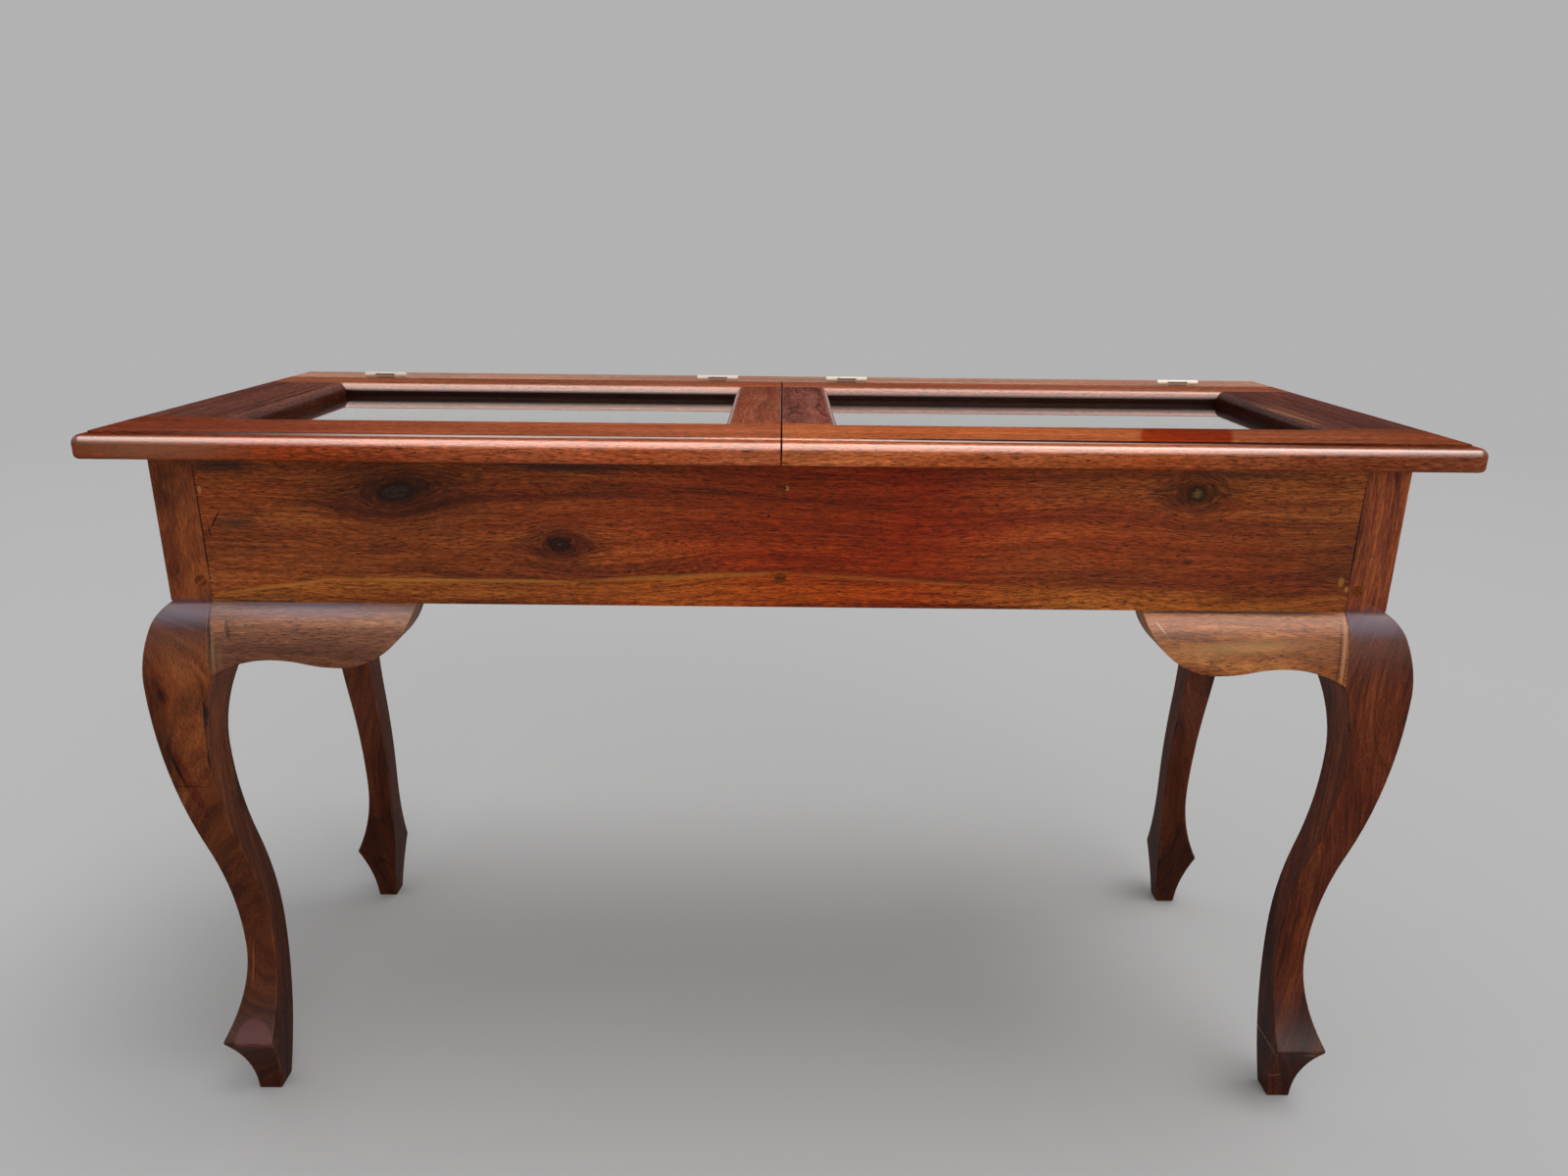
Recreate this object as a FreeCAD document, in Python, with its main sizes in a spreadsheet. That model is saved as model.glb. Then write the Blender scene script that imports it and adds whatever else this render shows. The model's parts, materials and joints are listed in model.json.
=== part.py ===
import FreeCAD, Part
import math
import os
import re
from FreeCAD import Rotation, Vector
import Sketcher

# Collectors display table: a shallow glazed box on four cabriole legs, with two
# framed glass lids that hinge on a fixed rail along the back of the top.
# Millimetres. Origin on the floor under the middle of the top, +X to the right,
# +Y to the back, +Z up.

doc = FreeCAD.newDocument("CollectorsDisplayTable")

# Driving dimensions: name, size, what it measures.
sizeRows = [
    ("tableLength", 950, "top, left to right"),
    ("tableDepth", 375, "top, front to back"),
    ("tableHeight", 566, "floor to the upper face of the top"),
    ("topThickness", 18, "rear rail of the top; the lids are thinner by lidSeat"),
    ("topOverhang", 33, "top beyond the box on all four sides"),
    ("cornerRound", 8.5, "corners of the top, in plan"),
    ("nosingRound", 6, "quarter round along the edge of the top"),
    ("nosingWidth", 10, "edge of the top to the small step"),
    ("nosingStep", 2, "height of that step"),
    ("undersideRound", 3, "lower arris of the top"),
    ("apronHeight", 110, "front, back and side boards of the box"),
    ("apronThickness", 20, "the same boards"),
    ("postWidth", 30, "square top of each leg"),
    ("tenonThickness", 10, "apron tenons"),
    ("tenonLength", 13, "apron tenons into the posts"),
    ("tenonShoulder", 10, "apron edge to tenon edge"),
    ("mortiseSpare", 1, "mortise beyond the end of its tenon"),
    ("pegDiameter", 9, "pegs through the front and back joints"),
    ("pegLength", 17, "the same pegs"),
    ("pegInset", 6.5, "shoulder of the joint to the peg"),
    ("pegLevel", 16, "lower edge of the apron to the peg"),
    ("baseThickness", 6, "plywood bottom of the box"),
    ("baseLift", 6, "lower edge of the apron to the bottom board"),
    ("grooveDepth", 6, "groove for the bottom board"),
    ("baseSpare", 0.5, "room for the bottom board to move"),
    ("dividerThickness", 18, "wall between the two compartments"),
    ("dividerScrewLow", 22, "lower edge of the apron to the lower screw"),
    ("dividerScrewHigh", 88, "lower edge of the apron to the upper screw"),
    ("plugDiameter", 7.4, "wooden plugs over the divider screws"),
    ("plugLength", 6, "the same plugs"),
    ("boxScrewHead", 7, "head of a divider screw"),
    ("boxScrewHeadDepth", 1.6, "the same head"),
    ("boxScrewShank", 4, "shank of a divider screw"),
    ("boxScrewLength", 42, "head to tip"),
    ("tongueWidth", 6, "tongue of the back board in the rear rail"),
    ("tongueHeight", 6, "the same tongue"),
    ("tongueSpare", 0.5, "groove beyond the top of the tongue"),
    ("kneeProud", 19.7, "knee beyond the face of the apron"),
    ("kneeDrop", 60, "apron to the fullest point of the knee"),
    ("kneeShare", 0.6, "part of the front curve that bulges"),
    ("shoulderProud", 12.5, "start of the small round over the knee, outwards"),
    ("shoulderDrop", 16.5, "the same point below the apron"),
    ("ankleSet", 7.6, "ankle behind the face of the apron"),
    ("ankleHeight", 140, "floor to the ankle"),
    ("toeProud", 13.2, "toe beyond the face of the apron"),
    ("toeHeight", 58, "floor to the tip of the toe"),
    ("soleSet", 2.3, "foot pad behind the face of the apron"),
    ("padBack", 21.5, "face of the apron to the back of the foot pad"),
    ("postDrop", 53, "apron to the end of the square post, inside"),
    ("hamSet", 16.9, "face of the apron to the hollow behind the knee"),
    ("hamDrop", 120, "apron to that hollow"),
    ("hamShare", 0.5, "part of the back curve that is hollow"),
    ("calfSet", 31.3, "face of the apron to the back of the ankle"),
    ("calfHeight", 150, "floor to the back of the ankle"),
    ("earLength", 148, "knee blocks along the front and back"),
    ("sideEarLength", 98, "knee blocks along the sides"),
    ("earDepth", 20, "knee block behind the face of the apron"),
    ("earHeel", 51, "height of a knee block beside the leg"),
    ("earHollow", 38.3, "height of a knee block at its hollow"),
    ("earLobe", 43.6, "height of a knee block at its lobe"),
    ("hollowShare", 0.3, "leg to that hollow, as a part of the block's length"),
    ("lobeShare", 0.63, "leg to that lobe, as a part of the block's length"),
    ("rearRailWidth", 52.5, "fixed rail along the back of the top"),
    ("lidSplit", 1.3, "gap between the two lids"),
    ("hingeGap", 0.8, "gap between a lid and the rear rail"),
    ("lidSeat", 0.3, "lid above the box"),
    ("frontRailWidth", 72.5, "front rail of a lid"),
    ("backRailWidth", 41.6, "back rail of a lid"),
    ("outerStileWidth", 77, "outer stile of a lid"),
    ("centreStileWidth", 41, "inner stile of a lid"),
    ("openingRound", 8, "upper arris of the glazed opening"),
    ("lidTenonThickness", 5, "stile tenons"),
    ("lidTenonLength", 12, "stile tenons into the rails"),
    ("lidTenonInset", 10, "stile edge to tenon edge"),
    ("glassThickness", 3, "panes"),
    ("glassDrop", 12, "upper face of the lid to the glass"),
    ("glassSpare", 0.5, "room around a pane"),
    ("rebateWidth", 6, "rebate for the pane and its beads"),
    ("hingeLength", 38, "butt hinges"),
    ("hingeInset", 100, "end of the top to the middle of an outer hinge"),
    ("hingeInner", 61, "middle of the table to the middle of an inner hinge"),
    ("knuckleRadius", 2.5, "barrel of a hinge"),
    ("knuckleLift", 2.8, "hinge axis above the top"),
    ("knuckleLength", 19, "middle knuckle"),
    ("knuckleGap", 0.15, "between knuckles"),
    ("pintleRadius", 1.2, "hinge pin"),
    ("pintleSpare", 0.05, "running clearance of the hinge pin"),
    ("pintleEnd", 0.4, "hinge pin beyond its knuckles"),
    ("leafThickness", 1.2, "hinge leaves"),
    ("leafDepth", 12.5, "hinge axis to the edge of a leaf"),
    ("leafClear", 0.2, "leaf to the other leaf's knuckle"),
    ("leafScrewPitch", 22, "between the two screws of a leaf"),
    ("leafScrewDrop", 7.6, "hinge axis to the screws"),
    ("leafScrewHead", 5, "screw heads, sunk in the leaves"),
    ("leafScrewShank", 2.6, "shank"),
    ("leafScrewLength", 14, "head to tip"),
]

# Levels and lines that several pieces share, worked out from the sizes.
placeRows = [
    ("halfLength", "tableLength / 2"),
    ("halfDepth", "tableDepth / 2"),
    ("boxHalfLength", "tableLength / 2 - topOverhang"),
    ("boxHalfDepth", "tableDepth / 2 - topOverhang"),
    ("boxTop", "tableHeight - topThickness"),
    ("boxBottom", "tableHeight - topThickness - apronHeight"),
    ("baseTop", "tableHeight - topThickness - apronHeight + baseLift + baseThickness"),
    ("postInnerLength", "tableLength / 2 - topOverhang - postWidth"),
    ("postInnerDepth", "tableDepth / 2 - topOverhang - postWidth"),
    ("roomHalfLength", "tableLength / 2 - topOverhang - apronThickness"),
    ("roomHalfDepth", "tableDepth / 2 - topOverhang - apronThickness"),
    ("tenonOut", "(apronThickness - tenonThickness) / 2"),
    ("kneeLevel", "tableHeight - topThickness - apronHeight - kneeDrop"),
    ("hamLevel", "tableHeight - topThickness - apronHeight - hamDrop"),
    ("hingeLine", "tableDepth / 2 - rearRailWidth"),
    ("hingeLevel", "tableHeight + knuckleLift"),
    ("lidBottom", "tableHeight - topThickness + lidSeat"),
    ("lidBack", "tableDepth / 2 - rearRailWidth - hingeGap / 2"),
    ("railFront", "tableDepth / 2 - rearRailWidth + hingeGap / 2"),
    ("glassTop", "tableHeight - glassDrop"),
    ("glassBottom", "tableHeight - glassDrop - glassThickness"),
    ("openOuter", "tableLength / 2 - outerStileWidth"),
    ("openInner", "lidSplit / 2 + centreStileWidth"),
    ("openFront", "frontRailWidth - tableDepth / 2"),
    ("openBack", "tableDepth / 2 - rearRailWidth - hingeGap / 2 - backRailWidth"),
]

sheet = doc.addObject("Spreadsheet::Sheet", "Sizes")
for row, (name, size, note) in enumerate(sizeRows, start=1):
    sheet.set(f"A{row}", note)
    sheet.set(f"B{row}", str(size))
    sheet.setAlias(f"B{row}", name)
doc.recompute()

places = doc.addObject("App::VarSet", "Places")
sizeNames = {name for name, size, note in sizeRows}


def formula(text):
    """A formula in full: each name in it gets the object that holds it."""

    def withOwner(found):
        owner = "Sizes" if found.group(0) in sizeNames else "Places"
        return f"{owner}.{found.group(0)}"

    return re.sub("[A-Za-z]+", withOwner, str(text))


def value(text):
    """What a formula comes to now."""
    return float(sheet.evalExpression(formula(text)))


for name, text in placeRows:
    places.addProperty("App::PropertyFloat", name)
    places.setExpression(name, formula(text))
doc.recompute()

pieces = []
pegSides = 12
screwSides = 6
# across its corners a faceted bore is this much wider than across its flats
cornersToFlats = 1 / math.cos(math.pi / pegSides)

towardsX = Rotation(Vector(0, 1, 0), 90)
towardsBack = Rotation(Vector(1, 0, 0), -90)
towardsFront = Rotation(Vector(1, 0, 0), 90)
alongX = Vector(1, 0, 0)
alongY = Vector(0, 1, 0)


def keep(solid, label):
    """Name a finished piece, which is then exported under that name."""
    solid.Label = label
    pieces.append(solid)
    return solid


def bindPlace(solid, corner):
    for axis, text in zip("xyz", corner):
        solid.setExpression(f"Placement.Base.{axis}", formula(text))


def box(name, low, high):
    """A block between two corners, each three formulas."""
    solid = doc.addObject("Part::Box", name)
    for side, start, end in zip(("Length", "Width", "Height"), low, high):
        solid.setExpression(side, formula(f"({end}) - ({start})"))
    bindPlace(solid, low)
    return solid


def rod(name, start, turn, radius, length):
    """A cylinder from its start, along the turned Z axis."""
    solid = doc.addObject("Part::Cylinder", name)
    solid.setExpression("Radius", formula(radius))
    solid.setExpression("Height", formula(length))
    solid.Placement.Rotation = turn
    bindPlace(solid, start)
    return solid


def facetRod(name, start, turn, radius, length, sides):
    """A small round piece with flat sides, from its start along the turned Z axis."""
    solid = doc.addObject("Part::Prism", name)
    solid.Polygon = sides
    solid.setExpression("Circumradius", formula(radius))
    solid.setExpression("Height", formula(length))
    solid.Placement.Rotation = turn
    bindPlace(solid, start)
    return solid


def cut(name, base, *tools):
    """Take each tool away from the base."""
    tool = tools[0] if len(tools) == 1 else fuse(f"{name}_tools", *tools)
    solid = doc.addObject("Part::Cut", name)
    solid.Base = base
    solid.Tool = tool
    return solid


def fuse(name, *solids):
    solid = doc.addObject("Part::MultiFuse", name)
    solid.Shapes = list(solids)
    solid.Refine = True
    return solid


def common(name, first, second):
    solid = doc.addObject("Part::Common", name)
    solid.Base = first
    solid.Tool = second
    return solid


def group(name, *solids):
    """Separate solids that are exported together."""
    solid = doc.addObject("Part::Compound", name)
    solid.Links = list(solids)
    return solid


def mirror(name, source, normal):
    """The source on the other side of the table."""
    solid = doc.addObject("Part::Mirroring", name)
    solid.Source = source
    solid.Normal = normal
    return solid


def bulge(start, end, heading):
    """Middle of the arc from start to end that leaves along a heading, and its last heading."""
    along = (end - start).normalize()
    share = along.dot(heading)
    side = (heading - along * share) * ((end - start).Length / 2 / (1 + share))
    return (start + end) * 0.5 + side, along * (2 * share) - heading


def outlineSketch(name, start, runs, placement):
    """A closed sketch of lines and arcs, from a start through the end of each run.

    An arc starts or ends upright or level, or follows smoothly from the arc before it.
    """
    sketch = doc.addObject("Sketcher::SketchObject", name)
    sketch.Placement = placement
    here = Vector(value(start[0]), value(start[1]), 0)
    heading = Vector()
    ends = []
    for place, *bend in runs:
        there = Vector(value(place[0]), value(place[1]), 0)
        chord = there - here
        ends.append((1, 2))
        if bend:
            if bend[0] != "follows":
                upright = bend[1] == "upright"
                heading = Vector(0 if upright else chord.x, chord.y if upright else 0, 0).normalize()
            if bend[0] == "ends":
                heading = bulge(there, here, heading * -1)[1] * -1
            middle, heading = bulge(here, there, heading)
            if (middle - here).cross(chord).z > 0:
                sketch.addGeometry(Part.Arc(here, middle, there))
            else:
                # a sketch keeps its arcs anticlockwise
                sketch.addGeometry(Part.Arc(there, middle, here))
                ends[-1] = (2, 1)
        else:
            sketch.addGeometry(Part.LineSegment(here, there))
        here = there
    for index, (place, *bend) in enumerate(runs):
        after = (index + 1) % len(runs)
        smooth = runs[after][1:] == ("follows",)
        last = ends[index][1]
        joint = (index, last, after, ends[after][0])
        sketch.addConstraint(Sketcher.Constraint("Tangent" if smooth else "Coincident", *joint))
        for kind, text in zip(("DistanceX", "DistanceY"), place):
            number = sketch.addConstraint(Sketcher.Constraint(kind, -1, 1, index, last, value(text)))
            sketch.setExpression(f"Constraints[{number}]", formula(text))
        if bend and bend[0] != "follows":
            tip = last if bend[0] == "ends" else ends[index][0]
            kind = "Horizontal" if bend[1] == "upright" else "Vertical"
            sketch.addConstraint(Sketcher.Constraint(kind, index, 3, index, tip))
    return sketch


def extrude(name, sketch, along, length):
    """The sketch's outline, extruded half the length to each side."""
    solid = doc.addObject("Part::Extrusion", name)
    solid.Base = sketch
    solid.DirMode = "Custom"
    solid.Dir = along
    solid.Solid = True
    solid.Symmetric = True
    solid.setExpression("LengthFwd", formula(length))
    return solid


def roundEdges(name, base, radius, wanted):
    """Round the edges of the base that the test picks."""
    doc.recompute()
    solid = doc.addObject("Part::Fillet", name)
    solid.Base = base
    size = value(radius)
    edges = enumerate(base.Shape.Edges, start=1)
    solid.Edges = [(number, size, size) for number, edge in edges if wanted(edge)]
    base.Visibility = False
    return solid


# Section of a cabriole leg, as sawn from a template on two faces of the blank.
# Measured outwards from the face of the apron and upwards from the floor.
ankle = ("-ankleSet", "ankleHeight")
kneeRuns = [
    (("kneeProud", "kneeLevel"), "follows"),
    (("shoulderProud", "boxBottom - shoulderDrop"), "follows"),
    (("0", "boxBottom"), "follows"),
]
shinEnd = ("kneeProud - kneeShare * (kneeProud + ankleSet)",
           "kneeLevel - kneeShare * (kneeLevel - ankleHeight)")
legFrontRuns = [
    (("-soleSet", "0"),),
    (("toeProud", "toeHeight"), "starts", "upright"),
    (ankle, "ends", "upright"),
    (shinEnd, "follows"),
    *kneeRuns,
    (("0", "boxTop"),),
]
legBackRuns = [
    (("-postWidth", "boxTop"),),
    (("-postWidth", "boxBottom - postDrop"),),
    (("-hamSet", "hamLevel"), "ends", "upright"),
    (("-hamSet - hamShare * (calfSet - hamSet)", "hamLevel - hamShare * (hamLevel - calfHeight)"),
     "follows"),
    (("-calfSet", "calfHeight"), "follows"),
    (("-padBack", "0"), "follows"),
]


def outwardPlacement(direction):
    """A sketch that stands upright, with its X axis pointing out of the box."""
    up = Vector(0, 0, 1)
    return FreeCAD.Placement(Vector(), Rotation(direction, up, direction.cross(up), "XYZ"))


def standing(name, start, runs, direction, along, length):
    """An upright section, placed at the front left corner of the box and extruded."""
    sketch = outlineSketch(f"{name}_section", start, runs, outwardPlacement(direction))
    bindPlace(sketch, ("-boxHalfLength", "-boxHalfDepth", "0"))
    return extrude(name, sketch, along, length)


def makePeg():
    """Peg of the front left joint, in from the face of the post."""
    start = ("-postInnerLength - pegInset", "-boxHalfDepth", "boxBottom + pegLevel")
    return facetRod("corner_peg", start, towardsBack, "pegDiameter / 2", "pegLength", pegSides)


def tenonBox(name, side, spare):
    """Tenon at the front left post, of the front apron or of the left one."""
    level = ("boxBottom + tenonShoulder", "boxTop - tenonShoulder")
    inset = ("tenonOut", "tenonOut + tenonThickness")
    reach = f"tenonLength + {spare}"
    if side == "front":
        low = (f"-postInnerLength - ({reach})", f"{inset[0]} - boxHalfDepth", level[0])
        high = ("-postInnerLength", f"{inset[1]} - boxHalfDepth", level[1])
    else:
        low = (f"{inset[0]} - boxHalfLength", f"-postInnerDepth - ({reach})", level[0])
        high = (f"{inset[1]} - boxHalfLength", "-postInnerDepth", level[1])
    return box(name, low, high)


def makeLegs(peg):
    runs = legFrontRuns + legBackRuns
    width = "2 * (postWidth + kneeProud + toeProud + calfSet)"
    across = standing("leg_across", ("-padBack", "0"), runs, Vector(-1, 0, 0), alongY, width)
    deep = standing("leg_deep", ("-padBack", "0"), runs, Vector(0, -1, 0), alongX, width)
    blank = common("leg_blank", across, deep)
    frontMortise = tenonBox("mortise_front", "front", "mortiseSpare")
    sideMortise = tenonBox("mortise_side", "left", "mortiseSpare")
    leg = cut("leg_front_left", blank, frontMortise, sideMortise, peg)
    keep(leg, "leg_front_left")
    keep(mirror("leg_front_right", leg, alongX), "leg_front_right")
    rear = keep(mirror("leg_rear_left", leg, alongY), "leg_rear_left")
    keep(mirror("leg_rear_right", rear, alongX), "leg_rear_right")


def makeAprons(peg, frontPlugs, frontScrews):
    grooveLevels = ("boxBottom + baseLift", "baseTop")
    board = box("apron_front_board", ("-postInnerLength", "-boxHalfDepth", "boxBottom"),
                ("postInnerLength", "apronThickness - boxHalfDepth", "boxTop"))
    tenon = tenonBox("apron_front_tenon", "front", "0")
    otherTenon = mirror("apron_front_tenon_right", tenon, alongX)
    groove = box("apron_front_groove",
                 ("-postInnerLength", "-roomHalfDepth - grooveDepth", grooveLevels[0]),
                 ("postInnerLength", "-roomHalfDepth", grooveLevels[1]))
    joined = fuse("apron_front_joined", board, tenon, otherTenon)
    front = cut("apron_front", joined, groove, peg, mirror("peg_right", peg, alongX), frontPlugs,
                frontScrews)
    keep(front, "apron_front")
    keep(fuse("apron_rear", mirror("apron_rear_board", front, alongY), tongue("apron", "0")),
         "apron_rear")

    board = box("apron_left_board", ("-boxHalfLength", "-postInnerDepth", "boxBottom"),
                ("apronThickness - boxHalfLength", "postInnerDepth", "boxTop"))
    tenon = tenonBox("apron_left_tenon", "left", "0")
    otherTenon = mirror("apron_left_tenon_rear", tenon, alongY)
    groove = box("apron_left_groove",
                 ("-roomHalfLength - grooveDepth", "-postInnerDepth", grooveLevels[0]),
                 ("-roomHalfLength", "postInnerDepth", grooveLevels[1]))
    joined = fuse("apron_left_joined", board, tenon, otherTenon)
    left = keep(cut("apron_left", joined, groove), "apron_left")
    keep(mirror("apron_right", left, alongX), "apron_right")


def tongue(name, spare):
    """Tongue along the back board, or the groove for it where there is spare."""
    middle = "boxHalfDepth - apronThickness / 2"
    return box(f"{name}_tongue", ("-postInnerLength", f"{middle} - tongueWidth / 2", "boxTop"),
               ("postInnerLength", f"{middle} + tongueWidth / 2", f"boxTop + tongueHeight + {spare}"))


def screwSolid(name, start, turn, head, headDepth, shank, length):
    """A wood screw with flat sides: a sunk head and a plain shank."""
    ahead = turn.multVec(Vector(0, 0, 1))
    under = [f"{text} + {round(step)} * {headDepth}" for text, step in zip(start, ahead)]
    return fuse(name, facetRod(f"{name}_head", start, turn, f"{head} / 2", headDepth, screwSides),
                facetRod(f"{name}_shank", under, turn, f"{shank} / 2", f"{length} - {headDepth}",
                         screwSides))


def makeFrontScrews():
    """Screws through the front apron into the divider, and the plugs that hide them."""
    screws = []
    plugs = []
    for name in ("Low", "High"):
        level = f"boxBottom + dividerScrew{name}"
        head = ("0", "plugLength - boxHalfDepth", level)
        screws.append(screwSolid(f"divider_screw_{name}", head, towardsBack, "boxScrewHead",
                                 "boxScrewHeadDepth", "boxScrewShank", "boxScrewLength"))
        plugs.append(facetRod(f"plug_{name}", ("0", "-boxHalfDepth", level), towardsBack,
                              "plugDiameter / 2", "plugLength", pegSides))
    return group("front_plugs", *plugs), group("front_screws", *screws)


def makeDivider(frontPlugs, frontScrews):
    board = box("divider_board", ("-dividerThickness / 2", "-roomHalfDepth", "baseTop"),
                ("dividerThickness / 2", "roomHalfDepth", "boxTop"))
    rearScrews = mirror("rear_screws", frontScrews, alongY)
    rearPlugs = mirror("rear_plugs", frontPlugs, alongY)
    keep(cut("centre_divider", board, frontScrews, rearScrews), "centre_divider")
    keep(group("divider_screws", frontScrews, rearScrews), "divider_screws")
    keep(group("divider_plugs", frontPlugs, rearPlugs), "divider_plugs")


def makeBase():
    """Bottom board in the grooves of the aprons, notched round the posts."""
    level = ("boxBottom + baseLift", "baseTop")
    reach = "grooveDepth - baseSpare"
    long = box("base_long",
               (f"-roomHalfLength - ({reach})", "baseSpare - postInnerDepth", level[0]),
               (f"roomHalfLength + {reach}", "postInnerDepth - baseSpare", level[1]))
    deep = box("base_deep",
               ("baseSpare - postInnerLength", f"-roomHalfDepth - ({reach})", level[0]),
               ("postInnerLength - baseSpare", f"roomHalfDepth + {reach}", level[1]))
    keep(fuse("base_panel", long, deep), "base_panel")


def makeKneeBlocks():
    """Shaped blocks under the apron that carry the line of the knee inwards."""

    def block(name, length, outward, along, corner):
        # side view of the block, measured from the leg and from the floor
        hollow = (f"{length} * hollowShare", "boxBottom - earHollow")
        lobe = (f"{length} * lobeShare", "boxBottom - earLobe")
        between = [f"({one} + {other}) / 2" for one, other in zip(hollow, lobe)]
        outline = outlineSketch(f"{name}_outline", ("0", "boxBottom"), [
            (("0", "boxBottom - earHeel"),),
            (hollow, "ends", "level"),
            (between, "follows"),
            (lobe, "follows"),
            ((length, "boxBottom"), "follows"),
            (("0", "boxBottom"),),
        ], outwardPlacement(along))
        bindPlace(outline, corner)
        sawn = extrude(f"{name}_sawn", outline, outward, "4 * (earDepth + kneeProud)")
        runs = [(shinEnd, "starts", "upright"), *kneeRuns, (("-earDepth", "boxBottom"),),
                (("-earDepth", "ankleHeight"),), (ankle,)]
        shaped = standing(f"{name}_shaped", ankle, runs, outward, along,
                          f"4 * ({length} + postWidth)")
        return common(name, sawn, shaped)

    front = block("knee_block_front_left", "earLength", Vector(0, -1, 0), alongX,
                  ("-postInnerLength", "-boxHalfDepth", "0"))
    side = block("knee_block_left_front", "sideEarLength", Vector(-1, 0, 0), alongY,
                 ("-boxHalfLength", "-postInnerDepth", "0"))
    keep(front, "knee_block_front_left")
    keep(mirror("knee_block_front_right", front, alongX), "knee_block_front_right")
    rear = keep(mirror("knee_block_rear_left", front, alongY), "knee_block_rear_left")
    keep(mirror("knee_block_rear_right", rear, alongX), "knee_block_rear_right")
    keep(side, "knee_block_left_front")
    keep(mirror("knee_block_right_front", side, alongX), "knee_block_right_front")
    rear = keep(mirror("knee_block_left_rear", side, alongY), "knee_block_left_rear")
    keep(mirror("knee_block_right_rear", rear, alongX), "knee_block_right_rear")


def makeTopForm():
    """The whole top with its moulded edge, before it is divided into pieces."""
    body = doc.addObject("PartDesign::Body", "TopForm")
    plane = next(item for item in body.Origin.OriginFeatures if item.Role == "XY_Plane")

    def slab(name, level, inset, thickness):
        sketch = body.newObject("Sketcher::SketchObject", f"{name}_sketch")
        sketch.AttachmentSupport = (plane, "")
        sketch.MapMode = "FlatFace"
        sketch.setExpression("AttachmentOffset.Base.z", formula(level))
        across = f"(halfLength - {inset})"
        deep = f"(halfDepth - {inset})"
        corners = [(f"-{across}", f"-{deep}"), (across, f"-{deep}"), (across, deep),
                   (f"-{across}", deep)]
        for index in range(4):
            ends = [Vector(value(x), value(y), 0)
                    for x, y in (corners[index - 1], corners[index])]
            sketch.addGeometry(Part.LineSegment(*ends))
        for index in range(4):
            sketch.addConstraint(Sketcher.Constraint("Coincident", index, 2, (index + 1) % 4, 1))
            for kind, text in zip(("DistanceX", "DistanceY"), corners[index]):
                number = sketch.addConstraint(
                    Sketcher.Constraint(kind, -1, 1, index, 2, value(text)))
                sketch.setExpression(f"Constraints[{number}]", formula(text))
        pad = body.newObject("PartDesign::Pad", name)
        pad.Profile = sketch
        pad.setExpression("Length", formula(thickness))
        doc.recompute()
        return pad

    def soften(name, base, radius, wanted):
        fillet = body.newObject("PartDesign::Fillet", name)
        edges = enumerate(base.Shape.Edges, start=1)
        fillet.Base = (base, [f"Edge{number}" for number, edge in edges if wanted(edge)])
        fillet.setExpression("Radius", formula(radius))
        doc.recompute()
        return fillet

    board = slab("board", "boxTop", "0", "topThickness - nosingStep")
    corners = soften("corner_round", board, "cornerRound", lambda edge: edge.BoundBox.ZLength > 1)
    upper = value("tableHeight - nosingStep")
    nosing = soften("nosing", corners, "nosingRound", lambda edge: edge.BoundBox.ZMin > upper - 0.01)
    lower = value("boxTop")
    soften("underside", nosing, "undersideRound", lambda edge: edge.BoundBox.ZMax < lower + 0.01)
    slab("field", "tableHeight - nosingStep", "nosingWidth", "nosingStep")
    return body


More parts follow.
